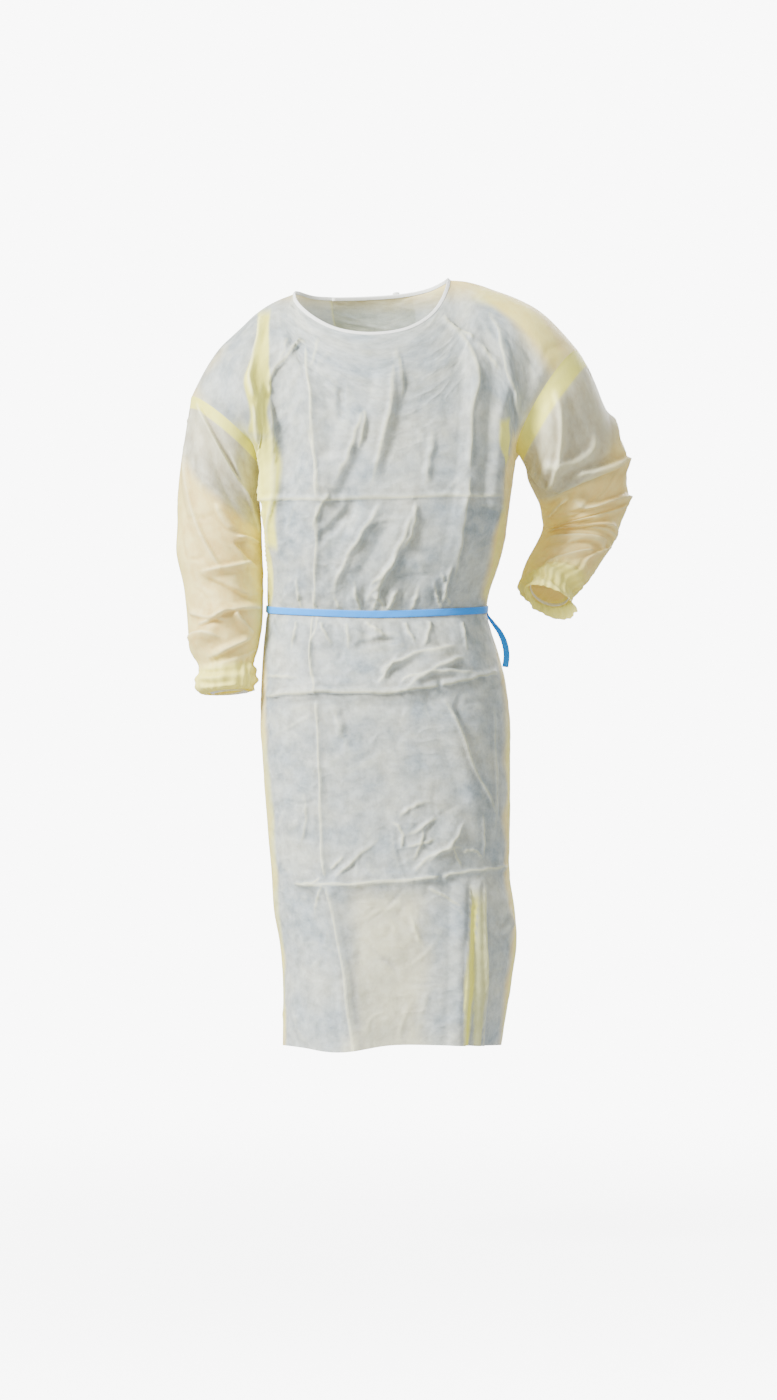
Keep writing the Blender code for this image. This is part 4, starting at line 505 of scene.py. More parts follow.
# Where the cloth hangs double, which makes it yellower: paths, half width, strength and how soft the edge is
FRONT_DOUBLES = table(
    "x1 z1 x2 z2 x3 z3 x4 z4 width strength soft",
    [
        (-0.172, -0.030, -0.174, -0.109, -0.180, -0.160, -0.192, -0.205, 0.009, 1.0, 0.004),
        (-0.176, -0.115, -0.180, -0.157, -0.191, -0.200, -0.202, -0.250, 0.015, 1.0, 0.004),
        (-0.200, -0.225, -0.198, -0.297, -0.195, -0.346, -0.206, -0.430, 0.017, 1.0, 0.008),
        (-0.228, -0.215, -0.236, -0.300, -0.238, -0.400, -0.246, -0.525, 0.022, 0.9, 0.010),
        (0.150, -0.010, 0.205, -0.028, 0.262, -0.072, 0.300, -0.140, 0.009, 0.4, 0.014),
        (0.225, -0.215, 0.232, -0.245, 0.245, -0.270, 0.262, -0.290, 0.010, 0.9, 0.006),
        (0.178, -0.950, 0.169, -1.038, 0.164, -1.116, 0.163, -1.225, 0.008, 1.0, 0.003),
        (0.194, -0.950, 0.190, -1.038, 0.188, -1.116, 0.190, -1.225, 0.011, 0.5, 0.003),
        (0.250, -0.340, 0.262, -0.400, 0.262, -0.450, 0.240, -0.510, 0.012, 0.5, 0.012),
        (0.300, -0.662, 0.318, -0.756, 0.325, -0.850, 0.325, -1.225, 0.020, 0.6, 0.020),
        (-0.262, -0.662, -0.250, -0.756, -0.240, -0.866, -0.232, -1.225, 0.016, 0.5, 0.016),
    ],
)

# How far from the armhole seam the cloth of each sleeve is double, and how far it is greyer: the tint of the
# clothes under it with painted shade
SEAM_BAND = {"sleeve_right": 0.016, "sleeve_left": 0.024}
SLEEVE_GREY = {"sleeve_right": 0.105, "sleeve_left": 0.105}

# How much the border of the greyer cloth wanders
BORDER_SWAY = 0.016

# Where the hem is paler, painted light where light came through between the legs: its middle, half width and
# the height it starts from
HEM_PAINTED_LIGHT = {"middle": 0.026, "half": 0.060, "top": -0.930}

# How far the greyer cloth of the body reaches to each side, by height. The grey is the tint of the clothes
# under it with painted shade
GREY_PART = table(
    "height left right",
    [
        (-0.02, -0.185, 0.190),
        (-0.06, -0.240, 0.235),
        (-0.15, -0.290, 0.290),
        (-0.26, -0.300, 0.290),
        (-0.30, -0.300, 0.265),
        (-0.50, -0.270, 0.250),
        (-0.56, -0.260, 0.290),
        (-0.90, -0.245, 0.300),
        (-1.20, -0.235, 0.300),
    ],
)

# The cloth's colours, each where it is plain and where it is grey: in its dark and its bright clouds. The grey
# is the tint of the clothes under the cloth, seen through it, with painted shade where less light comes
# through
CLOUD_DARK = ((0.94, 0.71, 0.26), (0.295, 0.352, 0.382))
CLOUD_BRIGHT = ((1.00, 0.87, 0.37), (0.60, 0.66, 0.67))
DOUBLE_COLOUR = (0.96, 0.92, 0.17)
# Paler crests: whitened crease lines with painted highlight, and painted light at the middle of the hem
CREST_PALE_AND_HIGHLIGHT = (0.97, 0.95, 0.60)
# Painted shade in the hollows of folds and creases
HOLLOW_SHADE = (0.78, 0.75, 0.70)

# The trims: their colours plain and where they are worn, and the path of the tie's side end from its knot
TIE_COLOURS = ((0.002, 0.26, 0.84), (0.012, 0.33, 0.91))
BINDING_COLOURS = ((0.86, 0.86, 0.80), (0.76, 0.77, 0.74))
ELASTIC_COLOURS = ((0.88, 0.88, 0.85), (0.78, 0.78, 0.76))
SIDE_TAIL = table(
    "x y z",
    [
        (0.0000, 0.0000, 0.0030),
        (0.0000, 0.0000, -0.0070),
        (0.0100, 0.0020, -0.0220),
        (0.0220, 0.0040, -0.0380),
        (0.0300, 0.0050, -0.0560),
        (0.0330, 0.0055, -0.0750),
        (0.0310, 0.0055, -0.0940),
    ],
)
STRIP_SIDES = 14
STRIP_SQUARE_WIDE = 0.35  # powers of the section's two axes: 1 is an ellipse, and nearer 0 is squarer
STRIP_SQUARE_TALL = 0.8
KNOT_COLUMN = 3
BACK_TAIL_COLUMN = 3.7
LAP_LIFT = 0.0020
BINDING_WIDTH = 0.006
BINDING_THICK = 0.0018
BINDING_OVERLAP = 0.0006  # how far it covers the cloth
OVER_NECK = np.array([0, 0, 0.08])
TIE_WIDTH = 0.0110
TIE_THICK = 0.0011
TIE_CLEAR = 0.0005
TIE_PINCH = 0.0012  # how far the tie presses the cloth in
TIE_MIDDLE = 0.008  # x of the middle of the body at the tie
ELASTIC_WIDTH = 0.007
ELASTIC_THICK = 0.0011
ELASTIC_INSIDE = 0.0040  # how far inside the plain cloth it lies
ELASTIC_ROW = {"sleeve_right": -1, "sleeve_left": -3}
KNOT_SIZE = (0.017, 0.010, 0.015)
NECK_KNOT_SIZE = (0.012, 0.007, 0.011)
TAIL_WIDTH = 0.006
TAIL_THICK = 0.0009
TAIL_LIFT = 0.0006  # from the panel behind it
TAIL_POINTS = 60
TIE_END_POINTS = 50
TIE_END_TWIST = np.radians(-52)
TIE_END_WIDTH = 0.92 * TIE_WIDTH
BACK_END_TOP = -0.006  # from the height of the tie behind
BACK_END_FOOT = -0.118
BACK_END_LIFT = 0.0012

CAMERA_PLACE = (0.0264, -6, -0.6624)
VIEW_HEIGHT = 2.24
SENSOR = 24
FLOOR_HALF = 6
FLOOR_HEIGHT = -1.54


def unit(vectors):
    return vectors / np.maximum(np.linalg.norm(vectors, axis=-1, keepdims=True), 1e-12)


def smooth(t):
    t = np.clip(t, 0, 1)
    return t * t * (3 - 2 * t)


def between(t, first, leave, last, arrive):
    """A smooth run from first to last as t goes from 0 to 1, which leaves and arrives at the given slopes."""
    return (
        first * (1 + 2 * t) * (1 - t) ** 2
        + leave * t * (1 - t) ** 2
        + last * t**2 * (3 - 2 * t)
        + arrive * t**2 * (t - 1)
    )


def curve_through(keys, values, at):
    """A smooth curve through values at rising keys, read at the given places."""
    keys, values, at = np.asarray(keys, float), np.asarray(values, float), np.asarray(at, float)
    slopes = np.gradient(values, keys, axis=0)
    i = np.clip(np.searchsorted(keys, at) - 1, 0, len(keys) - 2)
    tall = at.shape + (1,) * (values.ndim - 1)
    step = (keys[i + 1] - keys[i]).reshape(tall)
    t = np.clip((at - keys[i]).reshape(tall) / step, 0, 1)
    return between(t, values[i], slopes[i] * step, values[i + 1], slopes[i + 1] * step)


def curve_with_corners(keys, values, at, corners):
    """As curve_through, but the curve may turn sharply at the given places in keys."""
    ends = [0, *corners, len(keys) - 1]
    parts = []
    for a, b in zip(ends[:-1], ends[1:]):
        within = (at >= keys[a]) & ((at < keys[b]) | (b == ends[-1]))
        parts.append(curve_through(keys[a : b + 1], values[a : b + 1], at[within]))
    return np.concatenate(parts)


def spline(keys, values, at):
    """curve_through for keys that may fall."""
    if keys[0] > keys[-1]:
        keys, values = keys[::-1], values[::-1]
    return curve_through(keys, values, np.asarray(at, float))


def in_between(keys, steps):
    """The keys with each stretch between them cut into its number of steps."""
    parts = [np.linspace(a, b, n, endpoint=False) for a, b, n in zip(keys[:-1], keys[1:], steps)]
    return np.concatenate([*parts, keys[-1:]])


def lengths_along(points):
    return np.concatenate([[0], np.cumsum(np.linalg.norm(np.diff(points, axis=0), axis=1))])


def seam_points(seam, count):
    """Points evenly spaced along a seam's table, both ends included."""
    corners = np.stack([seam["x"], seam["y"], seam["z"]], axis=1)
    along = lengths_along(corners)
    return curve_through(along, corners, np.linspace(0, along[-1], count + 1))


def neck_points(side, count):
    """Points evenly spaced along the front half (side -1) or the back half (side 1) of the neck seam."""
    corners = np.stack([NECK["x"], NECK["y"], NECK["z"]], axis=1)
    total = len(corners)
    corners = np.concatenate([corners[-3:], corners, corners[:4]])
    along = lengths_along(corners)
    first, last = (3, 3 + NECK_LEFT_POINT) if side < 0 else (3 + NECK_LEFT_POINT, 3 + total)
    return curve_through(along, corners, np.linspace(along[first], along[last], count + 1))


def section(height, turn):
    """The point of the body at a height and a turn from the centre front, towards the wearer's left."""
    right, left, front, back, square = (spline(BODY["height"], BODY[k], height) for k in list(BODY)[1:])
    half = (left - right) / 2
    deep = np.where(np.cos(turn) > 0, front, back)
    reach = (np.abs(np.sin(turn) / half) ** square + np.abs(np.cos(turn) / deep) ** square) ** (-1 / square)
    x = (left + right) / 2 + reach * np.sin(turn)
    return np.stack([x, -reach * np.cos(turn), height + 0 * turn], axis=-1)


def even_turns(height, start, end, count):
    """Turns from start to end that step evenly along the cloth at this height."""
    turns = np.linspace(start, end, 241)
    along = lengths_along(section(np.full(turns.shape, height), turns))
    return np.interp(np.linspace(0, along[-1], count + 1), along, turns)


def tie_height(turn):
    return TIE_HEIGHT + TIE_RISE * (1 - np.cos(turn))


def lower_row(height, start, end, count):
    """One row of the body below the underarm, over the turns from start to end."""
    turns = even_turns(height, start, end, count)
    lean = smooth((height - TIE_HEIGHT) / (ROW_HEIGHTS[-1] - TIE_HEIGHT))
    underarm = (UNDERARM_LEFT + UNDERARM_RIGHT) / 2 + np.sin(turns) * (UNDERARM_LEFT - UNDERARM_RIGHT) / 2
    heights = height + lean * (underarm - ROW_HEIGHTS[-1])
    heights = heights + (tie_height(turns) - TIE_HEIGHT) * np.exp(-(((height - TIE_HEIGHT) / TIE_REACH) ** 2))
    aside = np.minimum(np.arange(count + 1), count - np.arange(count + 1))
    dip = smooth(aside / 2) * (1 - smooth((aside - 2) / 7))
    heights = heights - UNDERARM_DIP * dip * smooth(1 - (ROW_HEIGHTS[-1] - height) / UNDERARM_DIP_REACH)
    rise = HEM_FRONT_RISE * np.maximum(np.cos(turns), 0)
    rise -= HEM_DIP["depth"] * np.exp(-(((np.degrees(turns) - HEM_DIP["turn"]) / HEM_DIP["width"]) ** 2))
    heights = heights + rise * smooth((TIE_HEIGHT - height) / (TIE_HEIGHT - HEM))
    return section(heights, turns), turns


def armhole(under, tip, ring, side, shares):
    """Half of an armhole, from underarm to shoulder tip. side is -1 for the front half, 1 for the back."""
    middle, arm = (under + tip) / 2, (tip - under) / 2
    outwards = unit(np.cross(arm, [0, 1, 0]))
    outwards = outwards * np.sign(outwards[0]) * np.sign(tip[0])
    forward = np.cos(ring["turn"]) * np.array([0, -1, 0]) + np.sin(ring["turn"]) * outwards
    shares = np.asarray(shares)[:, None]
    return middle - arm * np.cos(np.pi * shares) - side * forward * ring["depth"] * np.sin(np.pi * shares)


def upper_patch(bottom, top, side, neck_columns):
    """Rows of the body from the underarm row to the shoulders and neck. side is -1 in front, 1 behind."""
    last = len(bottom) - 1
    columns = np.linspace(0, 1, last + 1)[:, None]
    rise, draw = top[:, 2:] - bottom[:, 2:], np.abs(top[:, 1:2] - bottom[:, 1:2])
    inside_neck = neck_columns / 2 - np.abs(columns * last - last / 2)
    neck = smooth((inside_neck + 2) / 4)
    middle = np.clip(2 * inside_neck / neck_columns, 0, 1)
    climb = np.radians(NECK_SIDE_CLIMB * neck + (NECK_MIDDLE_CLIMB - NECK_SIDE_CLIMB) * middle)
    level = (1 - neck) * [0, -side, 0] + neck * unit(-top * [1, 1, 0])
    leave = np.concatenate([0 * rise, 0 * rise, UNDERARM_PULL * rise], axis=1)
    pull = TOP_PULL * draw + MIDDLE_PULL * rise * middle
    arrive = pull * (unit(level) * np.cos(climb) + [0, 0, 1] * np.sin(climb))
    rings = (ARMHOLE_RIGHT, ARMHOLE_LEFT) if side < 0 else (ARMHOLE_LEFT, ARMHOLE_RIGHT)
    rows = []
    for t in np.linspace(0, 1, ARMHOLE_ROWS + 1)[1:]:
        row = between(t, bottom, leave, top, arrive)
        for edge, away, ring in ((0, columns, rings[0]), (-1, 1 - columns, rings[1])):
            on_ring = armhole(bottom[edge], top[edge], ring, side, [t])[0]
            row = row + (1 - smooth(away / ARMHOLE_DRAW)) * (on_ring - row[edge])
        rows.append(row)
    return rows


def ease_neck_corners(grid, low, neck_columns):
    """Evens out the cloth round the ends of the neck seam, above the underarm row, and leaves the edges."""
    last = grid.shape[1] - 1
    columns, climb = np.arange(last + 1), np.linspace(0, 1, len(grid) - low)
    off = np.minimum(np.abs(columns - (last - neck_columns) / 2), np.abs(columns - (last + neck_columns) / 2))
    weight = (0.5 * smooth(2 * climb - 0.6))[:, None] * np.exp(-((off / 4) ** 2))
    weight[-1] = weight[:, 0] = weight[:, -1] = 0
    patch = grid[low:].copy()
    for _ in range(NECK_EASE_PASSES):
        mean = patch.copy()
        mean[1:-1, 1:-1] = (patch[2:, 1:-1] + patch[:-2, 1:-1] + patch[1:-1, 2:] + patch[1:-1, :-2]) / 4
        patch += weight[..., None] * (mean - patch)
    return np.concatenate([grid[:low], patch])


def far_and_aside(across, up, corners):
    """How far along a path of corners each point is, from 0 to 1, and its signed distance from the path."""
    lengths = np.linalg.norm(np.diff(corners, axis=0), axis=1)
    starts = np.concatenate([[0], np.cumsum(lengths)])
    best, along, aside = np.full(across.shape, 1e9), np.zeros(across.shape), np.zeros(across.shape)
    for (x1, z1), (x2, z2), length, start in zip(corners[:-1], corners[1:], lengths, starts):
        dx, dz = (x2 - x1) / length, (z2 - z1) / length
        t = np.clip((across - x1) * dx + (up - z1) * dz, 0, length)
        off_x, off_z = across - x1 - t * dx, up - z1 - t * dz
        distance = np.hypot(off_x, off_z)
        nearer = distance < best
        best = np.where(nearer, distance, best)
        along = np.where(nearer, (start + t) / starts[-1], along)
        aside = np.where(nearer, distance * np.sign(off_z * dx - off_x * dz), aside)
    return along, aside


def bent(corners, each=5):
    """A smooth path through a few corners."""
    along = lengths_along(corners)
    return curve_through(along, corners, in_between(along, [each] * (len(corners) - 1)))


def fade(along, first, last):
    """1 along the middle of a fold, falling to 0 over the given shares at its two ends."""
    return smooth(along / max(first, 1e-6)) * smooth((1 - along) / max(last, 1e-6))


def profile(share, sharp):
    """The height across a crease, from 1 at its crest to 0 at its sides."""
    rest = np.clip(1 - np.abs(share), 0, 1)
    return (1 - sharp) * np.clip(1 - share**2, 0, 1) ** 1.5 + sharp * rest**1.4


def unrolled(points, side):
    """x and z of a panel's points. Below the underarm, x runs on round the sides of the body."""
    x, z = points[..., 0], points[..., 2]
    depth = spline(BODY["height"], BODY["front" if side < 0 else "back"], z.ravel()).reshape(z.shape)
    behind = np.maximum(depth + side * -points[..., 1], 0)
    return x + np.sign(x) * SIDE_UNROLL * behind * smooth((SIDE_UNROLL_TOP - z) / SIDE_UNROLL_REACH), z


def body_folds(x, z, folds):
    """The height of the large folds of a panel."""
    total = np.zeros(x.shape)
    for row in zip(*folds.values()):
        corners = np.array(row[:8]).reshape(4, 2)
        width, height, steep, top, foot = row[8:]
        along, aside = far_and_aside(x, z, corners)
        share = aside / (width * (1 + np.sign(aside) * steep))
        total += height * fade(along, top, foot) * profile(share, 0)
    return total


def body_creases(x, z, creases, rng):
    """The height of the fine creases of a panel, and how near each point is to a crest. Each crease wavers
    a little and is uneven along its length."""
    total, crest = np.zeros(x.shape), np.zeros(x.shape)
    for row in zip(*creases.values()):
        corners = bent(np.array(row[:8]).reshape(4, 2))
        width, height, steep, sharp, top, foot = row[8:]
        along, aside = far_and_aside(x, z, corners)
        beat, start = rng.uniform(*CREASE_BEATS), rng.uniform(0, WAVE, 2)
        aside = aside + CREASE_WAVER * width * np.sin(WAVE * beat * along + start[0])
        uneven = 1 + CREASE_UNEVEN * np.sin(WAVE * beat * 0.6 * along + start[1])
        share = aside / (width * (1 + np.sign(aside) * steep))
        ends = fade(along, top, foot)
        total += CREASE_DEPTH * height * uneven * ends * profile(share, sharp)
        crest = np.maximum(crest, ends * sharp * np.clip(1 - np.abs(aside) / CREST_REACH, 0, 1))
    return total, crest


def crumples(u, v, rng, count, lean, spread):
    """Many faint short creases at random over cloth coordinates. lean is their mean direction from level."""
    total = np.zeros(u.shape)
    for _ in range(count):
        middle = np.array([rng.uniform(u.min(), u.max()), rng.uniform(v.min(), v.max())])
        angle, length = lean + rng.normal(0, spread), rng.uniform(*CRUMPLE_LENGTH)
        half = 0.5 * length * np.array([np.cos(angle), np.sin(angle)])
        bow = rng.normal(0, 0.12) * length * np.array([-np.sin(angle), np.cos(angle)])
        width, height = rng.uniform(*CRUMPLE_WIDTH), rng.uniform(*CRUMPLE_HEIGHT) * rng.choice([-1, 1])
        near = np.hypot(u - middle[0], v - middle[1]) < length * 0.75 + width
        corners = bent(np.array([middle - half, middle + bow, middle + half]), 3)
        along, aside = far_and_aside(u[near], v[near], corners)
        total[near] += height * fade(along, 0.4, 0.4) * profile(aside / width, 0.85)
    return total


def soft_noise(u, v, cell, rng):
    """Smooth noise from -1 to 1 over cloth coordinates, with features about one cell across."""
    u, v = (u - u.min()) / cell, (v - v.min()) / cell
    lattice = rng.uniform(-1, 1, (int(u.max()) + 2, int(v.max()) + 2))
    i, j = u.astype(int), v.astype(int)
    s, t = smooth(u - i), smooth(v - j)
    low = lattice[i, j] * (1 - s) + lattice[i + 1, j] * s
    high = lattice[i, j + 1] * (1 - s) + lattice[i + 1, j + 1] * s
    return low * (1 - t) + high * t


def stands_out(height):
    """How far each point stands above the mean of those around it."""
    near, inside = range(-RELIEF_REACH, RELIEF_REACH + 1), slice(RELIEF_REACH, -RELIEF_REACH)
    around = np.pad(height, RELIEF_REACH, mode="edge")
    for axis in (0, 1):
        around = sum(np.roll(around, k, axis) for k in near) / len(near)
    return height - around[inside, inside]


def pale_crests_and_painted_shade(crest, height):
    """Crests near 1, which are paler: whitened crease lines with painted highlight. Hollows below 0, which are
    darker: painted shade.
    """
    return np.clip(crest + np.clip(stands_out(height) / RELIEF, -1, 0.15), -1, 1)


def waist_gathers(height, turns, rng):
    """The gathers above and below the waist tie: the solid's large ones, and small sharp puckers between."""
    away = np.abs(height - tie_height(turns))
    near = np.exp(-(((away - GATHER_NEAR) / GATHER_SPREAD) ** 2))
    total = np.zeros(np.shape(turns))
    for turn, width, bulge in zip(*WAIST_GATHERS.values()):
        off = (np.degrees(turns) - turn + 180) % 360 - 180
        total += bulge * np.clip(1 - (off / width) ** 2, 0, 1) * near
    turn = -180.0
    while turn < 180:
        for above in (1, -1):
            width, reach = rng.uniform(*PUCKER_WIDTH), rng.uniform(*PUCKER_REACH)
            height_here, sway = rng.uniform(*PUCKER_HEIGHT), rng.normal(0, 60)
            rise = (height - tie_height(turns)) * above
            off = (np.degrees(turns) - turn - sway * np.maximum(rise, 0) + 180) % 360 - 180
            fan = width * (1 + 14 * np.maximum(rise, 0))
            shape = np.clip(1 - np.abs(off) / fan, 0, 1) ** 1.3
            total += height_here * shape * smooth(rise / 0.010) * (1 - smooth(rise / reach))
        turn += rng.uniform(*PUCKER_SPACING)
    return total


def normals_of(grid):
    """Unit normals of a grid of points."""
    return unit(np.cross(np.gradient(grid, axis=1), np.gradient(grid, axis=0)))


def settle(grid):
    """Evens out a grid inside its edges."""
    grid = grid.copy()
    for _ in range(SETTLE_PASSES):
        mean = (grid[2:, 1:-1] + grid[:-2, 1:-1] + grid[1:-1, 2:] + grid[1:-1, :-2]) / 4
        grid[1:-1, 1:-1] += 0.5 * (mean - grid[1:-1, 1:-1])
    return grid


def plain_half(side):
    """The front (side -1) or the whole back (side 1) with no folds, as in the solids: rows of points, hem
    first, and the turn of each. Columns run from the wearer's right to left in front, and from left to right
    behind."""
    neck_columns = FRONT_NECK_COLUMNS if side < 0 else BACK_NECK_COLUMNS
    count = 2 * SHOULDER_COLUMNS + neck_columns
    start = -np.pi / 2 if side < 0 else np.pi / 2
    rows, turns = zip(*(lower_row(h, start, start + np.pi, count) for h in ROW_HEIGHTS))
    ends = (SHOULDER_RIGHT, SHOULDER_LEFT) if side < 0 else (SHOULDER_LEFT, SHOULDER_RIGHT)
    first, last = (seam_points(seam, SHOULDER_COLUMNS) for seam in ends)
    top = np.concatenate([first[:-1], neck_points(side, neck_columns), last[::-1][1:]])
    upper = upper_patch(rows[-1], top, side, neck_columns)
    grid = ease_neck_corners(np.array([*rows, *upper]), len(rows) - 1, neck_columns)
    return grid, np.array([*turns, *[turns[-1]] * len(upper)])


def fine_half(side):
    """The plain half on the fine grid, with the places of its rows and columns on the solid's grid."""
    coarse, turns = plain_half(side)
    low, neck_columns = len(ROW_HEIGHTS) - 1, FRONT_NECK_COLUMNS if side < 0 else BACK_NECK_COLUMNS
    gaps = np.linalg.norm(np.diff(coarse, axis=0), axis=2).mean(axis=1)
    up = np.concatenate([[0], np.cumsum(gaps)])
    steps = [max(1, round(gap / FINE_STEP)) for gap in gaps[:low]] + [ARMHOLE_STEPS] * ARMHOLE_ROWS
    fine_up = in_between(up, steps)
    columns = np.arange(coarse.shape[1], dtype=float)
    fine_columns = in_between(columns, [COLUMN_STEPS] * (len(columns) - 1))

    swapped = coarse.transpose(1, 0, 2)
    wide = curve_through(columns, swapped, fine_columns).transpose(1, 0, 2)
    neck_ends = [SHOULDER_COLUMNS, SHOULDER_COLUMNS + neck_columns]
    cornered = curve_with_corners(columns, swapped, fine_columns, neck_ends).transpose(1, 0, 2)
    near_top = smooth((np.arange(len(coarse)) - (len(coarse) - 4)) / 3)[:, None, None]
    wide = wide + near_top * (cornered - wide)

    grid = curve_through(up, wide, fine_up)
    cornered = curve_with_corners(up, wide, fine_up, [low])
    aside = np.minimum(fine_columns, fine_columns[-1] - fine_columns)
    grid = grid + (1 - smooth(aside / 2))[None, :, None] * (cornered - grid)
    wide_turns = curve_through(columns, turns.T, fine_columns).T
    fine_turns = curve_through(up, wide_turns, fine_up)
    return settle(grid), fine_turns, up, fine_up, fine_columns


def dressed_half(side, folds, creases, doubles, seed):
    """The cloth of the front or the whole back, with its folds, and what its material needs at each point."""
    rng = np.random.default_rng(seed)
    grid, turns, up, fine_up, columns = fine_half(side)
    aside = np.minimum(columns, columns[-1] - columns)[None, :]
    x, z = unrolled(grid, side)
    rise = grid[..., 2] - tie_height(turns)

    bulge = FOLD_SHARE * body_folds(x, z, folds) + waist_gathers(grid[..., 2], turns, rng)
    bulge *= 1 - np.exp(-((rise / TIE_HOLD) ** 4)) * (1 - 0.25 * smooth((np.abs(rise) - 0.009) / 0.008))
    seam_row = np.ones(len(up))
    seam_row[-4:] = (0.85, 0.55, 0.2, 0)
    bulge *= smooth(aside / 3) * np.interp(fine_up, up, seam_row)[:, None]
    cloth = grid + normals_of(grid) * bulge[..., None]

    width = np.linalg.norm(grid[0, -1] - grid[0, 0]) * 1.35
    u = columns[None, :] / columns[-1] * width + 0 * z
    v = fine_up[:, None] + 0 * z
    fine, crest = body_creases(x, z, creases, rng)
    fine += crumples(u, v, rng, **BODY_CRUMPLES)
    fine += sum(height * soft_noise(u, v, cell, rng) for height, cell in BODY_WAVES)
    from_top = (fine_up[-1] - fine_up)[:, None]
    held = 1 - np.exp(-((rise / 0.011) ** 6))
    fine *= held * smooth(aside / 1.0) * smooth(from_top / 0.016)
    pinched = -TIE_PINCH * np.exp(-((rise / 0.010) ** 4)) * smooth(aside / 1.0)
    hem = np.exp(-fine_up / HEM_FLUTTER_REACH)[:, None]
    flutter = HEM_FLUTTER * hem * soft_noise(u, v * 0.2, HEM_FLUTTER_CELL, rng) * smooth(aside / 1.5)
    cloth = cloth + normals_of(cloth) * (fine + pinched + flutter)[..., None]

    double = np.zeros(x.shape)
    for row in zip(*doubles.values()):
        corners = bent(np.array(row[:8]).reshape(4, 2))
        width, strength, soft = row[8:]
        along, off = far_and_aside(x, z, corners)
        edge = width * (1 + 0.25 * np.sin(9 * along + width * 300))
        inside = 1 - smooth((np.abs(off) - edge) / soft)
        double = np.maximum(double, strength * inside * fade(along, 0.15, 0.1))
    # Paler crests with painted highlight, and painted shade in the hollows
    crest = pale_crests_and_painted_shade(crest, fine)
    return {"cloth": cloth, "u": u, "v": v, "double": double, "crest": crest, "x": x, "z": z}


def sleeve_stations(sleeve, ring_under, ring_tip, ring, down):
    """Middle, half width vector and half depth vector of the sleeve at shares of the way down."""
    outer = np.stack([sleeve["outer_x"], 0 * sleeve["y"], sleeve["outer_z"]], axis=1)
    inner = np.stack([sleeve["inner_x"], 0 * sleeve["y"], sleeve["inner_z"]], axis=1)
    outer, inner = np.vstack([ring_tip, outer]), np.vstack([ring_under, inner])
    middle = (outer + inner) / 2
    middle[:, 1] = np.concatenate([[(ring_tip[1] + ring_under[1]) / 2], sleeve["y"]])
    wide = (outer - inner) / 2
    wide[:, 1] = 0
    depth = np.concatenate([[ring["depth"]], sleeve["depth"]])
    keys = np.linspace(0, 1, len(middle))
    middle, wide, depth = (curve_through(keys, v, down) for v in (middle, wide, depth))
    run = unit(np.gradient(middle, axis=0))
    forward = np.array([0.0, -1.0, 0.0])
    deep = unit(forward - run * (run @ forward)[:, None])
    front_of_ring = armhole(ring_under, ring_tip, ring, -1, [0.5])[0] - (ring_tip + ring_under) / 2
    start = (1 - smooth(down / 0.15))[:, None]
    deep = unit(deep * (1 - start) + unit(front_of_ring) * start)
    return middle, wide, deep * depth[:, None]


def sleeve_lines(down, turns, rows):
    """The height of folds or creases of a sleeve at distances down it and turns round it, and how near each
    point is to a crest. A fold runs straight between two points, and a crease follows four."""
    total, crest = np.zeros(down.shape), np.zeros(down.shape)
    across = SLEEVE_RADIUS * turns
    creases = "sharp" in rows
    for number, row in enumerate(zip(*rows.values())):
        points = np.array(row[: 8 if creases else 4]).reshape(-1, 2)
        path = np.stack([np.radians(points[:, 1]) * SLEEVE_RADIUS, points[:, 0]], axis=1)
        if creases:
            width, height, sharp = row[-3:]
            path, height, width = bent(path), height * SLEEVE_CREASE_DEPTH, SLEEVE_CREASE_WIDTH * width
            lean, ends_share = SLEEVE_CREASE_LEAN * (-1) ** number, 0.2
        else:
            width, height = row[-2:]
            sharp, lean, ends_share = 0, 0, 0.3
        for whole_turn in (-2 * np.pi * SLEEVE_RADIUS, 0, 2 * np.pi * SLEEVE_RADIUS):
            along, aside = far_and_aside(across, down, path + [whole_turn, 0])
            ends = fade(along, ends_share, ends_share)
            total += height * ends * profile(aside / (width * (1 + np.sign(aside) * lean)), sharp)
            crest = np.maximum(crest, sharp * ends * np.clip(1 - np.abs(aside) / SLEEVE_CREST_REACH, 0, 1))
    return total, crest


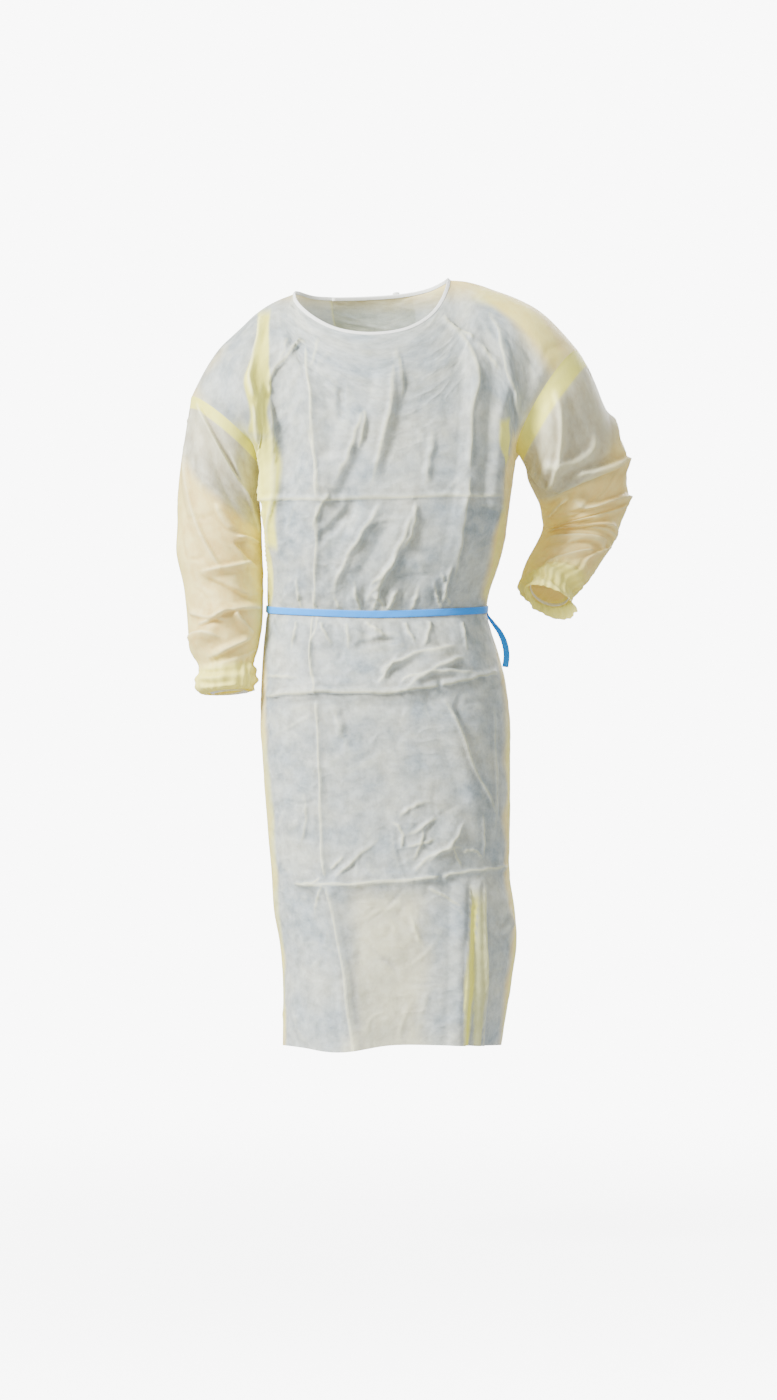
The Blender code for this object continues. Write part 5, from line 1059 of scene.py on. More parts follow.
def dressed_sleeve(sleeve, ring, folds, creases, gathers_start, ring_line, seam_band, seed):
    """The cloth of a sleeve, armhole first. ring_line is the armhole, from shoulder tip round the front."""
    rng = np.random.default_rng(seed)
    upper = np.linspace(0, gathers_start, SLEEVE_ROWS + 1)
    solid_share = np.concatenate([upper, np.linspace(gathers_start, 1, CUFF_ROWS + 1)[1:]])
    tip, under = ring_line[0], ring_line[ARMHOLE_ROWS * ARMHOLE_STEPS]
    gaps = np.linalg.norm(np.diff(sleeve_stations(sleeve, under, tip, ring, solid_share)[0], axis=0), axis=1)
    steps = [max(3, round(gap / (0.8 * FINE_STEP))) for gap in gaps]
    share = in_between(solid_share, steps)
    middle, wide, deep = sleeve_stations(sleeve, under, tip, ring, share)
    count = 2 * CUFF_GATHERS * SLEEVE_STEPS
    turns = np.linspace(0, 2 * np.pi, count, endpoint=False)[None, :]
    outwards, forwards = np.cos(turns)[..., None], np.sin(turns)[..., None]
    plain = middle[:, None] + wide[:, None] * outwards + deep[:, None] * forwards
    down = lengths_along(middle)[:, None] + 0 * turns
    turns = turns + 0 * down
    towards = (1 - smooth(down / (1.4 * gaps[0])))[..., None]
    plain = plain + towards * (ring_line - plain[0])[None]
    out = unit(plain - middle[:, None])

    grown = smooth((share - gathers_start) / (1 - gathers_start) * 3)[:, None]
    pressed = 1 - 0.85 * smooth((-np.cos(turns) - 0.55) / 0.35)
    large, _ = sleeve_lines(down, turns, folds)
    large = large * smooth(down / 0.03) * (1 - grown) * pressed
    bulge_grid = plain + out * large[..., None]

    u, v = turns * SLEEVE_RADIUS, down
    fine, crest = sleeve_lines(down, turns, creases)
    seam = turns * SLEEVE_RADIUS * smooth(turns / 0.4) * smooth((2 * np.pi - turns) / 0.4)
    fine += crumples(seam, v, rng, **SLEEVE_CRUMPLES)
    for (height, cell), around in zip(SLEEVE_WAVES, (np.cos(turns), np.sin(turns))):
        fine += height * soft_noise(SLEEVE_RADIUS * around, v, cell, rng)
    fine *= smooth(down / 0.014) * (1 - 0.6 * grown) * (0.4 + 0.6 * pressed)

    # The gathers differ in width, depth and how far up they reach
    shift = sum(rng.uniform(0.05, 0.14) * np.sin(k * turns + rng.uniform(0, WAVE)) for k in (1, 2, 3, 5))
    depth = 1 + sum(rng.uniform(0.15, 0.35) * np.sin(k * turns + rng.uniform(0, WAVE)) for k in (2, 3, 5, 7))
    reach = 0.10 * (sum(np.sin(k * turns + rng.uniform(0, WAVE)) for k in (3, 4, 7)) / 3)
    near_cuff = smooth(2.2 * ((share[:, None] - gathers_start) / (1 - gathers_start) + reach))
    wave = np.cos(CUFF_GATHERS * (turns + shift * 0.4))
    cuff = smooth((down - down[-1] + CUFF_LENGTH) / 0.016)
    gathers = GATHER_DEPTH * depth * near_cuff * (1 - 0.55 * cuff) * (np.sign(wave) * np.abs(wave) ** 0.8)
    bunches = BUNCH_DEPTH * grown * soft_noise(turns * SLEEVE_RADIUS * 0.6, down, 0.014, rng)
    bunches *= np.sin(turns / 2) ** 2
    slant = sum(rng.uniform(0.7, 1.3) * np.sin(k * turns + rng.uniform(0, WAVE)) for k in (1, 2, 3))
    rolled = np.sin(2 * np.pi * (down[-1] - down) / ROLL_SPACING + slant)
    rolls = ROLL_DEPTH * cuff * (0.7 + 0.5 * np.sin(2 * turns + slant)) * rolled
    ruffle = EDGE_FLARE + EDGE_RUFFLE * np.sin(5 * turns + 2 * np.sin(3 * turns))
    ruffle *= np.exp(-(((down - down[-1]) / EDGE_REACH) ** 2))
    cloth = bulge_grid + out * (fine + gathers + bunches + rolls + ruffle)[..., None]

    # Where it is double, or looks so: at the armhole seam, near the cuff, and along the two sides
    band = 1 - smooth((down - seam_band) / 0.0015)
    inside, outside = np.clip(-np.cos(turns), 0, 1) ** 3, np.clip(np.cos(turns), 0, 1) ** 8
    sides = (0.70 * inside + 0.45 * outside) * smooth((down - 0.06) / 0.12)
    sides *= np.clip(0.85 + 0.4 * soft_noise(SLEEVE_RADIUS * np.cos(turns), v, 0.040, rng), 0, 1)
    double = np.maximum(np.maximum(band, 0.5 * near_cuff), np.maximum(sides, 0.75 * cuff))
    # Paler crests with painted highlight, and painted shade in the hollows of creases, gathers and rolls
    crest = pale_crests_and_painted_shade(crest * (1 - grown), fine + 0.4 * (gathers + rolls))
    return {
        "cloth": cloth, "u": u, "v": v, "double": double, "crest": crest, "plain": plain, "out": out,
        "middle": middle, "rows": np.concatenate([[0], np.cumsum(steps)]),
    }


def object_from(name, points, faces, finish):
    """One named piece in the gown's frame, riding on it."""
    mesh = bpy.data.meshes.new(name)
    mesh.from_pydata(np.asarray(points, float).tolist(), [], faces)
    mesh.validate()
    mesh.materials.append(finish)
    mesh.shade_smooth()
    made = bpy.data.objects.new(name, mesh)
    bpy.context.scene.collection.objects.link(made)
    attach(made, "root")
    return made


def point_values(mesh, name, values):
    """A value at each point, for the material."""
    values = np.asarray(values, np.float32)
    if values.ndim == 2:
        mesh.attributes.new(name, "FLOAT_VECTOR", "POINT").data.foreach_set("vector", values.ravel())
    else:
        mesh.attributes.new(name, "FLOAT", "POINT").data.foreach_set("value", values)


def cloth_piece(name, part, finish, flip, closed=False):
    """A sheet of cloth over a grid of points."""
    rows, columns = part["cloth"].shape[:2]
    first = (np.arange(rows - 1)[:, None] * columns + np.arange(columns if closed else columns - 1)).ravel()
    across = (first // columns) * columns + (first % columns + 1) % columns
    faces = np.stack([first, across, across + columns, first + columns], axis=1)
    if flip:
        faces = faces[:, ::-1]
    made = object_from(name, part["cloth"].reshape(-1, 3), faces.tolist(), finish)
    flat = np.stack([part["u"], part["v"], 0 * part["u"] + part["seed"]], axis=-1)
    point_values(made.data, "flat", flat.reshape(-1, 3))
    # crest holds paler crests with painted highlight and, below 0, painted shade in the hollows; grey holds
    # painted shade with the tint of the clothes under the cloth
    for value in ("double", "crest", "grey"):
        point_values(made.data, value, part[value].ravel())
    return made


def strip(name, path, across, out, width, thick, finish, slot, closed=False):
    """A flat strip with rounded edges along a path. across is the direction of its width, and out the way its
    outer face looks."""
    path, across, out = np.asarray(path), unit(np.asarray(across)), unit(np.asarray(out))
    angle = np.linspace(0, 2 * np.pi, STRIP_SIDES, endpoint=False)
    wide = np.sign(np.cos(angle)) * np.abs(np.cos(angle)) ** STRIP_SQUARE_WIDE * width / 2
    tall = (np.sign(np.sin(angle)) * np.abs(np.sin(angle)) ** STRIP_SQUARE_TALL + 1) * thick / 2
    rings = path[:, None] + across[:, None] * wide[None, :, None] + out[:, None] * tall[None, :, None]
    count, size = rings.shape[:2]
    faces = []
    for k in range(count if closed else count - 1):
        a, b = size * k, size * ((k + 1) % count)
        faces += [(a + j, a + (j + 1) % size, b + (j + 1) % size, b + j) for j in range(size)]
    if not closed:
        faces += [tuple(range(size))[::-1], tuple(size * (count - 1) + j for j in range(size))]
    made = object_from(name, rings.reshape(-1, 3), faces, finish)
    across_flat, along_flat = np.tile(wide, (count, 1)), np.repeat(lengths_along(path)[:, None], size, 1)
    flat = np.stack([across_flat, along_flat, 0 * along_flat], axis=-1)
    point_values(made.data, "flat", flat.reshape(-1, 3))
    return made


def knot(name, middle, across, out, size, finish):
    """A knot: a rounded block with the grooves of the strip wound round it."""
    across, out = unit(across), unit(out)
    up = unit(np.cross(out, across))
    rings, spokes = 25, 48
    points, flat = [], []
    for tilt in np.linspace(-np.pi / 2, np.pi / 2, rings):
        for angle in np.linspace(0, 2 * np.pi, spokes, endpoint=False):
            bulk = np.array([np.cos(tilt) * np.cos(angle), np.cos(tilt) * np.sin(angle), np.sin(tilt)])
            bulk = bulk / (np.abs(bulk) ** 2.8).sum() ** (1 / 2.8)
            wrap = np.abs(np.sin(1.9 * angle + 1.6 * tilt + 0.5)) ** 0.5
            wrap = 0.86 + 0.12 * wrap + 0.03 * np.sin(5 * angle - 4 * tilt)
            local = bulk * wrap * np.array([size[0], size[2], size[1]]) / 2
            points.append(middle + across * local[0] + up * local[1] + out * (local[2] + size[1] / 2))
            flat.append((local[0], local[1], 0))
    faces = []
    for r in range(rings - 1):
        for k in range(spokes):
            a, b = r * spokes + k, r * spokes + (k + 1) % spokes
            faces.append((a, b, b + spokes, a + spokes))
    made = object_from(name, points, faces, finish)
    point_values(made.data, "flat", flat)
    return made


def on_panel(grid, normals, row, column, lift):
    """A point of a panel at fractional row and column, moved out by lift, and the normal there."""
    r, c = min(int(row), len(grid) - 2), min(int(column), grid.shape[1] - 2)
    s, t = row - r, column - c
    weights = ((1 - s) * (1 - t), (1 - s) * t, s * (1 - t), s * t)
    places = ((r, c), (r, c + 1), (r + 1, c), (r + 1, c + 1))
    point = sum(w * grid[p] for w, p in zip(weights, places))
    normal = unit(sum(w * normals[p] for w, p in zip(weights, places)))
    return point + normal * lift, normal


def over_panel(grid, rows, columns, lift):
    """The path of a strip that hangs over a panel, the direction of its width, and the way it looks."""
    normals = normals_of(grid)
    hang, looks = zip(*(on_panel(grid, normals, row, column, lift) for row, column in zip(rows, columns)))
    return hang, np.cross(looks, np.gradient(np.array(hang), axis=0)), looks


def nodes_for(name):
    made = bpy.data.materials.new(name)
    made.use_nodes = True
    made.node_tree.nodes.clear()
    return made, made.node_tree


def add(tree, kind, inputs, **settings):
    """A node with its settings, and with numbers or links put on its sockets."""
    node = tree.nodes.new(kind)
    for key, value in settings.items():
        setattr(node, key, value)
    for key, value in inputs.items():
        if isinstance(value, bpy.types.NodeSocket):
            tree.links.new(value, node.inputs[key])
        else:
            node.inputs[key].default_value = value
    return node


def blend_colour(tree, share, first, second, kind="MIX"):
    first, second = ((*colour, 1) if isinstance(colour, tuple) else colour for colour in (first, second))
    inputs = {0: share, 6: first, 7: second}
    return add(tree, "ShaderNodeMix", inputs, data_type="RGBA", blend_type=kind).outputs[2]


def maths(tree, kind, *values):
    return add(tree, "ShaderNodeMath", dict(enumerate(values)), operation=kind).outputs[0]


def attribute(tree, name, output):
    return add(tree, "ShaderNodeAttribute", {}, attribute_name=name).outputs[output]


def cloud(tree, where, scale, detail, stretch=(1, 1, 1), rough=0.55):
    """Noise from 0 to 1 over cloth coordinates in metres."""
    scaled = add(tree, "ShaderNodeVectorMath", {0: where, 1: stretch}, operation="MULTIPLY").outputs[0]
    inputs = {"Vector": scaled, "Scale": scale, "Detail": detail, "Roughness": rough}
    return add(tree, "ShaderNodeTexNoise", inputs).outputs["Fac"]


def bump(tree, height, distance, strength, normal=None):
    inputs = {"Height": height, "Distance": distance, "Strength": strength}
    if normal is not None:
        inputs["Normal"] = normal
    return add(tree, "ShaderNodeBump", inputs).outputs["Normal"]


def ridge_lines(tree, where, scale, thin, stretch):
    """Thin wandering ridges, from 0 to 1, where smooth noise crosses its middle value."""
    off = maths(tree, "ABSOLUTE", maths(tree, "SUBTRACT", cloud(tree, where, scale, 1.5, stretch), 0.5))
    return maths(tree, "MAXIMUM", maths(tree, "MULTIPLY_ADD", off, -thin, 1.0), 0.0)


def stretched(tree, value, low, high):
    """The value with low to high spread over 0 to 1."""
    inputs = {"Value": value, "From Min": low, "From Max": high}
    return add(tree, "ShaderNodeMapRange", inputs).outputs["Result"]


def bumps(tree, heights):
    """The normal of rows of a height, its distance and its strength, each over the last."""
    normal = None
    for height, distance, strength in heights:
        normal = bump(tree, height, distance, strength, normal)
    return normal


def textile(tree, colour, normal, roughness, gloss):
    inputs = {"Base Color": colour, "Roughness": roughness, "Specular IOR Level": gloss, "Sheen Weight": 0.1}
    return add(tree, "ShaderNodeBsdfPrincipled", {**inputs, "Normal": normal}).outputs[0]


def cloth_material():
    """Spunbonded cloth: thin, a little see-through, yellower where it is double, cloudy, with fine dots.
    Its colour also holds painted light: paler crests with painted highlight, and painted shade in the hollows
    and the grey.
    """
    made, tree = nodes_for("gown_cloth")
    flat = attribute(tree, "flat", "Vector")
    double, crest, grey = (attribute(tree, name, "Fac") for name in ("double", "crest", "grey"))
    clouds = stretched(tree, cloud(tree, flat, 60, 8, (1.0, 0.8, 1.0), 0.72), 0.36, 0.64)
    broad = stretched(tree, cloud(tree, flat, 14, 4), 0.34, 0.66)
    grey = maths(tree, "MULTIPLY", grey, maths(tree, "MULTIPLY_ADD", broad, -0.18, 1.0))
    fibres = cloud(tree, flat, 900, 2, (1.0, 0.16, 1.0))
    cross_fibres = cloud(tree, flat, 1000, 2, (0.16, 1.0, 1.0))

    # Grey: the tint of the clothes under the cloth, with painted shade
    dark, bright = (blend_colour(tree, grey, *colours) for colours in (CLOUD_DARK, CLOUD_BRIGHT))
    uneven = maths(tree, "MULTIPLY_ADD", clouds, 0.62, maths(tree, "MULTIPLY", broad, 0.38))
    single = blend_colour(tree, uneven, dark, bright)
    colour = blend_colour(tree, maths(tree, "MULTIPLY", double, 0.95), single, DOUBLE_COLOUR)
    # Paler crests: whitened crease lines with painted highlight, and painted light at the middle of the hem
    colour = blend_colour(tree, maths(tree, "MULTIPLY", crest, 0.55), colour, CREST_PALE_AND_HIGHLIGHT)
    # Painted shade, multiplied into the hollows
    colour = blend_colour(tree, maths(tree, "MULTIPLY", crest, -0.9), colour, HOLLOW_SHADE, "MULTIPLY")

    thin = maths(tree, "MULTIPLY_ADD", clouds, -0.14, 0.34)
    thin = maths(tree, "MULTIPLY", thin, maths(tree, "MULTIPLY_ADD", double, -0.45, 1.0))
    inputs = {"Vector": flat, "Scale": 720.0, "Randomness": 0.15}
    dots = add(tree, "ShaderNodeTexVoronoi", inputs, feature="F1")
    pressed = maths(tree, "SMOOTH_MIN", dots.outputs["Distance"], 0.35, 0.1)
    patches = stretched(tree, cloud(tree, flat, 9, 2), 0.45, 0.62)
    long_lines = maths(tree, "MULTIPLY", ridge_lines(tree, flat, 9, 16, (1.0, 0.6, 1.0)), patches)
    short_lines = maths(tree, "MULTIPLY", ridge_lines(tree, flat, 26, 10, (0.8, 1.0, 1.0)), patches)
    heights = ((pressed, 0.00012, 0.6), (maths(tree, "ADD", fibres, cross_fibres), 0.00012, 0.7))
    heights += ((clouds, 0.0005, 0.5), (long_lines, 0.0012, 0.8), (short_lines, 0.0009, 0.8))
    normal = bumps(tree, heights)
    surface = textile(tree, colour, normal, 0.55, 0.4)
    through = add(tree, "ShaderNodeBsdfTranslucent", {"Color": colour, "Normal": normal}).outputs[0]
    mixed = add(tree, "ShaderNodeMixShader", {0: thin, 1: surface, 2: through}).outputs[0]
    add(tree, "ShaderNodeOutputMaterial", {"Surface": mixed})
    return made


def woven_material(name, colours, roughness, ribs, rib_depth):
    """A narrow trim: colour with faint wear, and fine ribs along it."""
    made, tree = nodes_for(name)
    flat = attribute(tree, "flat", "Vector")
    wear = cloud(tree, flat, 160, 4)
    tint = blend_colour(tree, maths(tree, "MULTIPLY", wear, 0.6), *colours)
    inputs = {"Vector": flat, "Scale": ribs, "Distortion": 0.8, "Detail": 2.0}
    wave = add(tree, "ShaderNodeTexWave", inputs, wave_type="BANDS", bands_direction="X").outputs["Fac"]
    fibres, dents = cloud(tree, flat, 700, 3, (1.0, 0.3, 1.0)), cloud(tree, flat, 60, 2)
    heights = ((wave, rib_depth, 0.8), (fibres, 0.00012, 0.8), (dents, 0.0008, 0.6))
    surface = textile(tree, tint, bumps(tree, heights), roughness, 0.3)
    add(tree, "ShaderNodeOutputMaterial", {"Surface": surface})
    return made


def shade_body(part, rng):
    """Says how grey the single cloth of the body looks, the tint of the clothes under it with painted shade:
    most of it, up to an uneven border near its edges. The middle of the hem is paler: painted light, where
    light came through between the legs."""
    x, z = part["x"], part["z"]
    left, right = (np.interp(-z, -GREY_PART["height"], GREY_PART[key]) for key in ("left", "right"))
    sway = BORDER_SWAY * soft_noise(part["u"], part["v"], 0.045, rng)
    grey = smooth((x - left + sway) / 0.035) * smooth((right - x + sway) / 0.035) * smooth((0.01 - z) / 0.05)
    # Painted light at the middle of the hem: less grey, and paler through the crest value
    off_middle = np.abs(x - HEM_PAINTED_LIGHT["middle"] + sway) - HEM_PAINTED_LIGHT["half"]
    pale = (1 - smooth(off_middle / 0.045 + 0.5)) * smooth((HEM_PAINTED_LIGHT["top"] - z) / 0.06)
    part["grey"] = grey * (1 - 0.25 * pale)
    part["crest"] = np.clip(part["crest"] + 0.45 * pale * (grey > 0), -1, 1)


def sleeve_greyness(part, reach, rng):
    """How grey a sleeve looks, with the tint of the clothes under it and painted shade: only its top, down to
    an uneven border.
    """
    across = SLEEVE_RADIUS * np.cos(part["u"] / SLEEVE_RADIUS)
    sway = BORDER_SWAY * soft_noise(across, part["v"], 0.040, rng)
    return 0.70 * (1 - smooth((part["v"] - reach + sway + 0.2 * across) / 0.030))


def dress():
    """Makes every piece of cloth and trim."""
    cloth = cloth_material()
    tie = woven_material("waist_tie", TIE_COLOURS, 0.55, 260, 0.00008)
    white = woven_material("neck_binding", BINDING_COLOURS, 0.6, 300, 0.00006)
    elastic = woven_material("cuff_elastic", ELASTIC_COLOURS, 0.6, 420, 0.00015)

    front = dressed_half(-1, FRONT_FOLDS, FRONT_CREASES, FRONT_DOUBLES, 11)
    back = dressed_half(1, BACK_FOLDS, BACK_CREASES, {}, 23)
    rng = np.random.default_rng(41)
    for part in (front, back):
        shade_body(part, rng)
    sleeves = dress_sleeves(front["cloth"], back["cloth"], cloth, rng)

    front["seed"] = 1.0
    made = cloth_piece("front_cloth", front, cloth, False)
    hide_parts("front")
    halves = two_backs(back)
    for name, part in halves.items():
        made = cloth_piece(name + "_cloth", part, cloth, False)
        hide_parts(name)

    bind_neck(front, halves, white)
    tie_waist(front, halves, tie)
    for name, part in sleeves.items():
        row = part["rows"][ELASTIC_ROW[name]]
        before = part["rows"][ELASTIC_ROW[name] - 1]
        ring = part["plain"][row] - part["out"][row] * ELASTIC_INSIDE
        run = unit(part["middle"][row] - part["middle"][before])
        made = strip(
            name.replace("sleeve", "cuff_elastic") + "_band", ring, [run] * len(ring), -part["out"][row],
            ELASTIC_WIDTH, ELASTIC_THICK, elastic, "cuff_elastic", closed=True,
        )
        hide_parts(name.replace("sleeve", "cuff_elastic"))


def dress_sleeves(front, back, finish, rng):
    """Makes the cloth of both sleeves, from the armholes in the cloth of the body."""
    sleeves = {}
    rows = ARMHOLE_ROWS * ARMHOLE_STEPS
    right = (SLEEVE_RIGHT, ARMHOLE_RIGHT, RIGHT_SLEEVE_FOLDS, RIGHT_SLEEVE_CREASES, RIGHT_GATHERS_START)
    left = (SLEEVE_LEFT, ARMHOLE_LEFT, LEFT_SLEEVE_FOLDS, LEFT_SLEEVE_CREASES, LEFT_GATHERS_START)
    for name, nodes, form, edge, seed in (
        ("sleeve_right", ["sleeve_right"], right, 0, 5),
        ("sleeve_left", ["sleeve_left_upper", "sleeve_left_lower"], left, -1, 7),
    ):
        ring_line = np.concatenate([front[-1 - rows :, edge][::-1], back[-rows:-1, -1 - edge]])
        part = dressed_sleeve(*form, ring_line, SEAM_BAND[name], seed)
        part["grey"] = sleeve_greyness(part, SLEEVE_GREY[name], rng)
        part["seed"] = float(seed)
        sleeves[name] = part
        made = cloth_piece(name + "_cloth", part, finish, edge == 0, closed=True)
        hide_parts(*nodes)
    return sleeves


def two_backs(back):
    """The whole back as two panels that overlap at its centre, the right one outside."""
    last = back["cloth"].shape[1] - 1
    centre, lap = COLUMN_STEPS * ((last // COLUMN_STEPS + 1) // 2), COLUMN_STEPS * LAP_COLUMNS
    lift = smooth((centre + 3 * lap - np.arange(last + 1)) / (1.8 * lap)) * LAP_LIFT
    raised = back["cloth"] + normals_of(back["cloth"]) * lift[None, :, None]
    halves = {}
    for name, grid, cut in (
        ("back_left", back["cloth"], np.s_[:, : centre + lap + 1]),
        ("back_right", raised, np.s_[:, centre - lap :]),
    ):
        halves[name] = {key: back[key][cut] for key in ("u", "v", "double", "crest", "grey")}
        halves[name].update(cloth=grid[cut], seed=2.0)
    right = halves["back_right"]
    overlap = smooth((lap * 2 - np.arange(right["u"].shape[1])) / 1.5 + 0.5)
    right["double"] = np.maximum(right["double"], 0.7 * overlap[None, :])
    return halves


def bind_neck(front, halves, finish):
    """The binding round the neck, from the lower back panel's edge round the front to the upper one's, and
    its ties."""
    neck_start = SHOULDER_COLUMNS * COLUMN_STEPS
    left, right = halves["back_left"]["cloth"], halves["back_right"]["cloth"]
    stretches = (
        (left, range(left.shape[1] - 1, neck_start, -1)),
        (front["cloth"], range(front["cloth"].shape[1] - 1 - neck_start, neck_start - 1, -1)),
        (right, range(right.shape[1] - 2 - neck_start, -1, -1)),
    )
    edge, out = [], []
    for grid, columns in stretches:
        normals = normals_of(grid[-4:])
        for c in columns:
            edge.append(grid[-1, c])
            out.append(normals[-1, c])
    edge, out = np.array(edge), np.array(out)
    for _ in range(BINDING_EASE_PASSES):
        out[1:-1] = unit(out[:-2] + out[1:-1] + out[2:])
    across = unit(np.cross(out, np.gradient(edge, axis=0)))
    across *= np.sign(np.sum(across * (OVER_NECK - edge), axis=1, keepdims=True))
    path = edge + across * (BINDING_WIDTH / 2 - BINDING_OVERLAP) - out * BINDING_THICK * 0.55
    size = (BINDING_WIDTH, BINDING_THICK)
    made = strip("neck_binding_strip", path, across, out, *size, finish, "neck_binding")
    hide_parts("neck_binding")

    last, outwards, upwards = path[-6], out[-6], across[-6]
    sideways = unit(np.cross(outwards, upwards))
    face = last + outwards * BINDING_THICK
    made = knot("neck_knot", face, sideways, outwards, NECK_KNOT_SIZE, finish)
    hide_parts("neck_tie_knot")
    for side, column, drop in (("right", 1.45, 6.6), ("left", 0.35, 6.0)):
        rows = len(right) - 1 - ARMHOLE_STEPS * np.linspace(0.35, drop, TAIL_POINTS)
        columns = COLUMN_STEPS * (column + 0.25 * np.sin(np.linspace(0, 7, TAIL_POINTS) + column))
        name = "neck_tie_end_" + side
        run = over_panel(right, rows, columns, TAIL_LIFT)
        made = strip(name + "_strip", *run, TAIL_WIDTH, TAIL_THICK, finish, "neck_binding")
        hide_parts(name)


def tie_waist(front, halves, finish):
    """The tie round the waist, over the outermost panel all the way, with its knot and two ends at the left
    hip."""
    front, left, right = front["cloth"], halves["back_left"]["cloth"], halves["back_right"]["cloth"]
    lap_start = left.shape[1] - 1 - 2 * LAP_COLUMNS * COLUMN_STEPS
    path, across, out = [], [], []
    for grid, stop in ((front, front.shape[1] - 1), (left, lap_start), (right, right.shape[1] - 1)):
        normals = normals_of(grid)
        for c in range(stop):
            column = grid[:, c]
            turn = np.arctan2(column[:, 0] - TIE_MIDDLE, -column[:, 1])
            row = int(np.argmin(np.abs(column[:, 2] - tie_height(turn))))
            up = unit(column[row + 3] - column[row - 3])
            normal = normals[row, c]
            clear = TIE_CLEAR + TIE_PINCH
            if grid is left:
                clear += LAP_LIFT * smooth((c / COLUMN_STEPS - lap_start / COLUMN_STEPS + 4) / 3)
            path.append(column[row] + normal * clear)
            across.append(up)
            out.append(unit(normal - up * np.dot(normal, up)))
    path, across, out = np.array(path), np.array(across), np.array(out)
    for _ in range(TIE_EASE_PASSES):
        path = (np.roll(path, 1, 0) + 2 * path + np.roll(path, -1, 0)) / 4
        out = unit(np.roll(out, 1, 0) + 2 * out + np.roll(out, -1, 0))
        across = unit(np.roll(across, 1, 0) + 2 * across + np.roll(across, -1, 0))
    made = strip("waist_tie_strip", path, across, out, TIE_WIDTH, TIE_THICK, finish, "waist_tie", closed=True)
    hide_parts("waist_tie")

    at = front.shape[1] - 1 + KNOT_COLUMN * COLUMN_STEPS
    along = unit(path[at + 2] - path[at - 2])
    base = path[at] + out[at] * TIE_THICK
    made = knot("waist_knot", base, along, out[at], KNOT_SIZE, finish)
    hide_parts("waist_tie_knot")
    start = base + out[at] * KNOT_SIZE[1]
    side = start + np.stack([SIDE_TAIL["x"], SIDE_TAIL["y"], SIDE_TAIL["z"]], axis=1)
    steps = lengths_along(side)
    side = curve_through(steps, side, np.linspace(0, steps[-1], TIE_END_POINTS))
    twist = TIE_END_TWIST * smooth(np.linspace(0, 1.3, TIE_END_POINTS))[:, None]
    looks = np.cross(np.tile(along, (TIE_END_POINTS, 1)), np.gradient(side, axis=0))
    looks = unit(looks * np.sign(looks @ out[at])[:, None])
    turned = along * np.cos(twist) + looks * np.sin(twist)
    looks = looks * np.cos(twist) - along * np.sin(twist)
    made = strip("waist_tie_side_end", side, turned, looks, TIE_END_WIDTH, TIE_THICK, finish, "waist_tie")
    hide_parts("waist_tie_end_side")

    column = BACK_TAIL_COLUMN * COLUMN_STEPS
    heights = left[:, int(column), 2] - (TIE_HEIGHT + TIE_RISE)
    top, foot = (int(np.argmin(np.abs(heights - end))) for end in (BACK_END_TOP, BACK_END_FOOT))
    rows = np.linspace(top, foot, TIE_END_POINTS)
    run = over_panel(left, rows, [column] * TIE_END_POINTS, BACK_END_LIFT)
    made = strip("waist_tie_back_end", *run, TIE_WIDTH, TIE_THICK, finish, "waist_tie")
    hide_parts("waist_tie_end_back")


def light(name, place, target, size, power):
    data = bpy.data.lights.new(name, "AREA")
    data.shape, data.size, data.energy = "SQUARE", size, power
    made = bpy.data.objects.new(name, data)
    bpy.context.scene.collection.objects.link(made)
    made.location = place
    made.rotation_mode = "QUATERNION"
    made.rotation_quaternion = (Vector(target) - Vector(place)).to_track_quat("-Z", "Y")


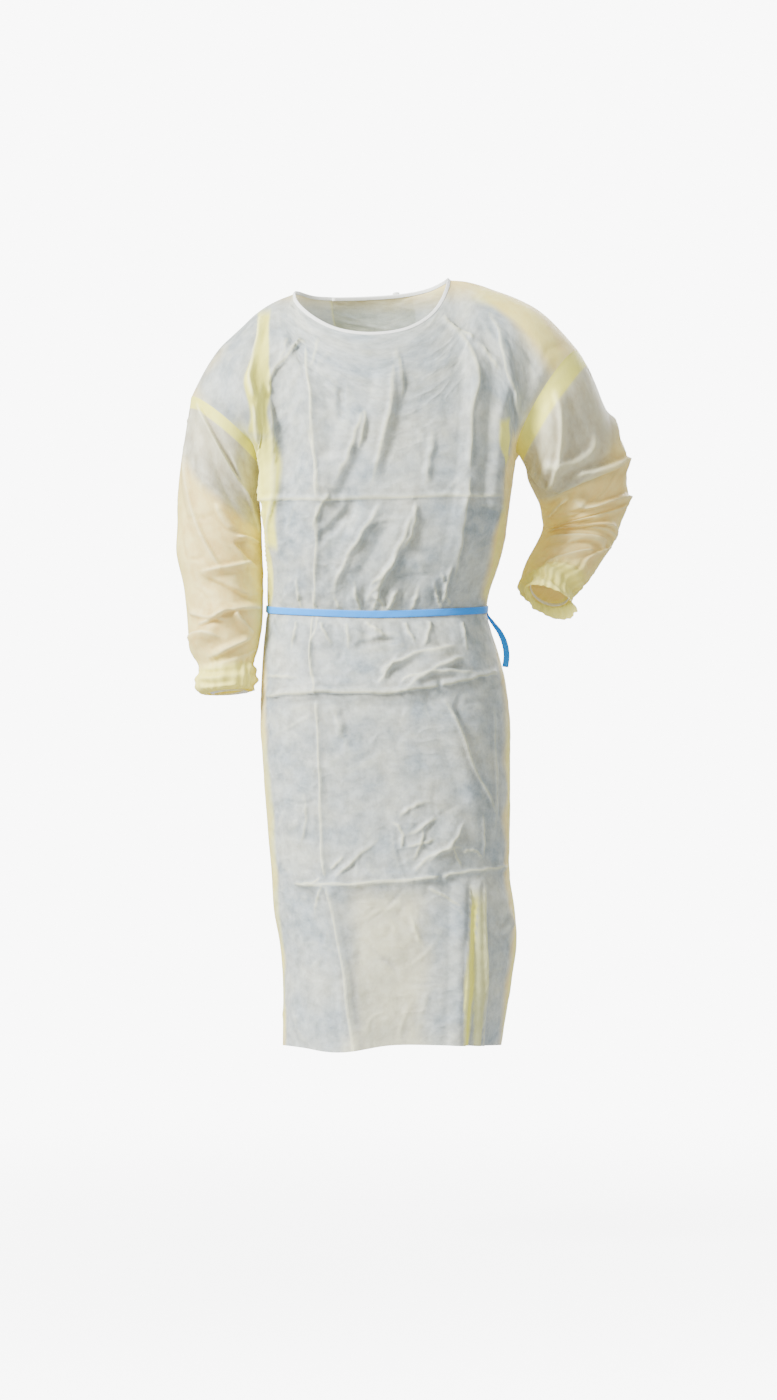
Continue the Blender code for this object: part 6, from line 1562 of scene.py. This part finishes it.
def set_stage():
    """The camera, the lights, the floor and the pale surroundings."""
    data = bpy.data.cameras.new("camera")
    data.sensor_width = SENSOR
    data.lens = SENSOR * -CAMERA_PLACE[1] / VIEW_HEIGHT
    camera = bpy.data.objects.new("camera", data)
    bpy.context.scene.collection.objects.link(camera)
    camera.location = CAMERA_PLACE
    camera.rotation_euler = (np.pi / 2, 0, 0)
    bpy.context.scene.camera = camera

    light("key_light", (-4.1, -3.0, 2.6), (0, 0, -0.6), 1.8, 1430)
    light("fill_light", (3.2, -4.4, 0.2), (0, 0, -0.6), 3.0, 100)
    light("back_light", (1.8, 3.2, 1.5), (0, 0, -0.5), 2.5, 280)

    world = bpy.data.worlds.new("surroundings")
    bpy.context.scene.world = world
    world.use_nodes = True
    tree = world.node_tree
    tree.nodes.clear()
    seen = add(tree, "ShaderNodeLightPath", {}).outputs["Is Camera Ray"]
    soft = add(tree, "ShaderNodeBackground", {"Color": (0.93, 0.96, 1.0, 1), "Strength": 0.60})
    white = add(tree, "ShaderNodeBackground", {"Color": (1, 1, 1, 1), "Strength": 9.0})
    mixed = add(tree, "ShaderNodeMixShader", {0: seen, 1: soft.outputs[0], 2: white.outputs[0]})
    add(tree, "ShaderNodeOutputWorld", {"Surface": mixed.outputs[0]})

    mesh = bpy.data.meshes.new("floor")
    signs = ((-1, -1), (1, -1), (1, 1), (-1, 1))
    corners = [(FLOOR_HALF * across, FLOOR_HALF * away, FLOOR_HEIGHT) for across, away in signs]
    mesh.from_pydata(corners, [], [(0, 1, 2, 3)])
    floor = bpy.data.objects.new("floor", mesh)
    bpy.context.scene.collection.objects.link(floor)
    made, tree = nodes_for("floor")
    place = add(tree, "ShaderNodeTexCoord", {}).outputs["Object"]
    distance = add(tree, "ShaderNodeVectorMath", {0: place}, operation="LENGTH").outputs["Value"]
    inputs = {"Value": distance, "From Min": 0.4, "From Max": 2.6, "To Min": 0.35}
    clear = add(tree, "ShaderNodeMapRange", inputs, interpolation_type="SMOOTHSTEP").outputs["Result"]
    grain = bump(tree, cloud(tree, place, 90, 3), 0.0004, 0.3)
    colour = blend_colour(tree, cloud(tree, place, 1.5, 2), (0.93, 0.93, 0.93), (0.96, 0.96, 0.96))
    matt = add(tree, "ShaderNodeBsdfPrincipled", {"Base Color": colour, "Roughness": 0.7, "Normal": grain})
    gone = add(tree, "ShaderNodeBsdfTransparent", {})
    mixed = add(tree, "ShaderNodeMixShader", {0: clear, 1: matt.outputs[0], 2: gone.outputs[0]})
    add(tree, "ShaderNodeOutputMaterial", {"Surface": mixed.outputs[0]})
    mesh.materials.append(made)


set_stage()
dress()
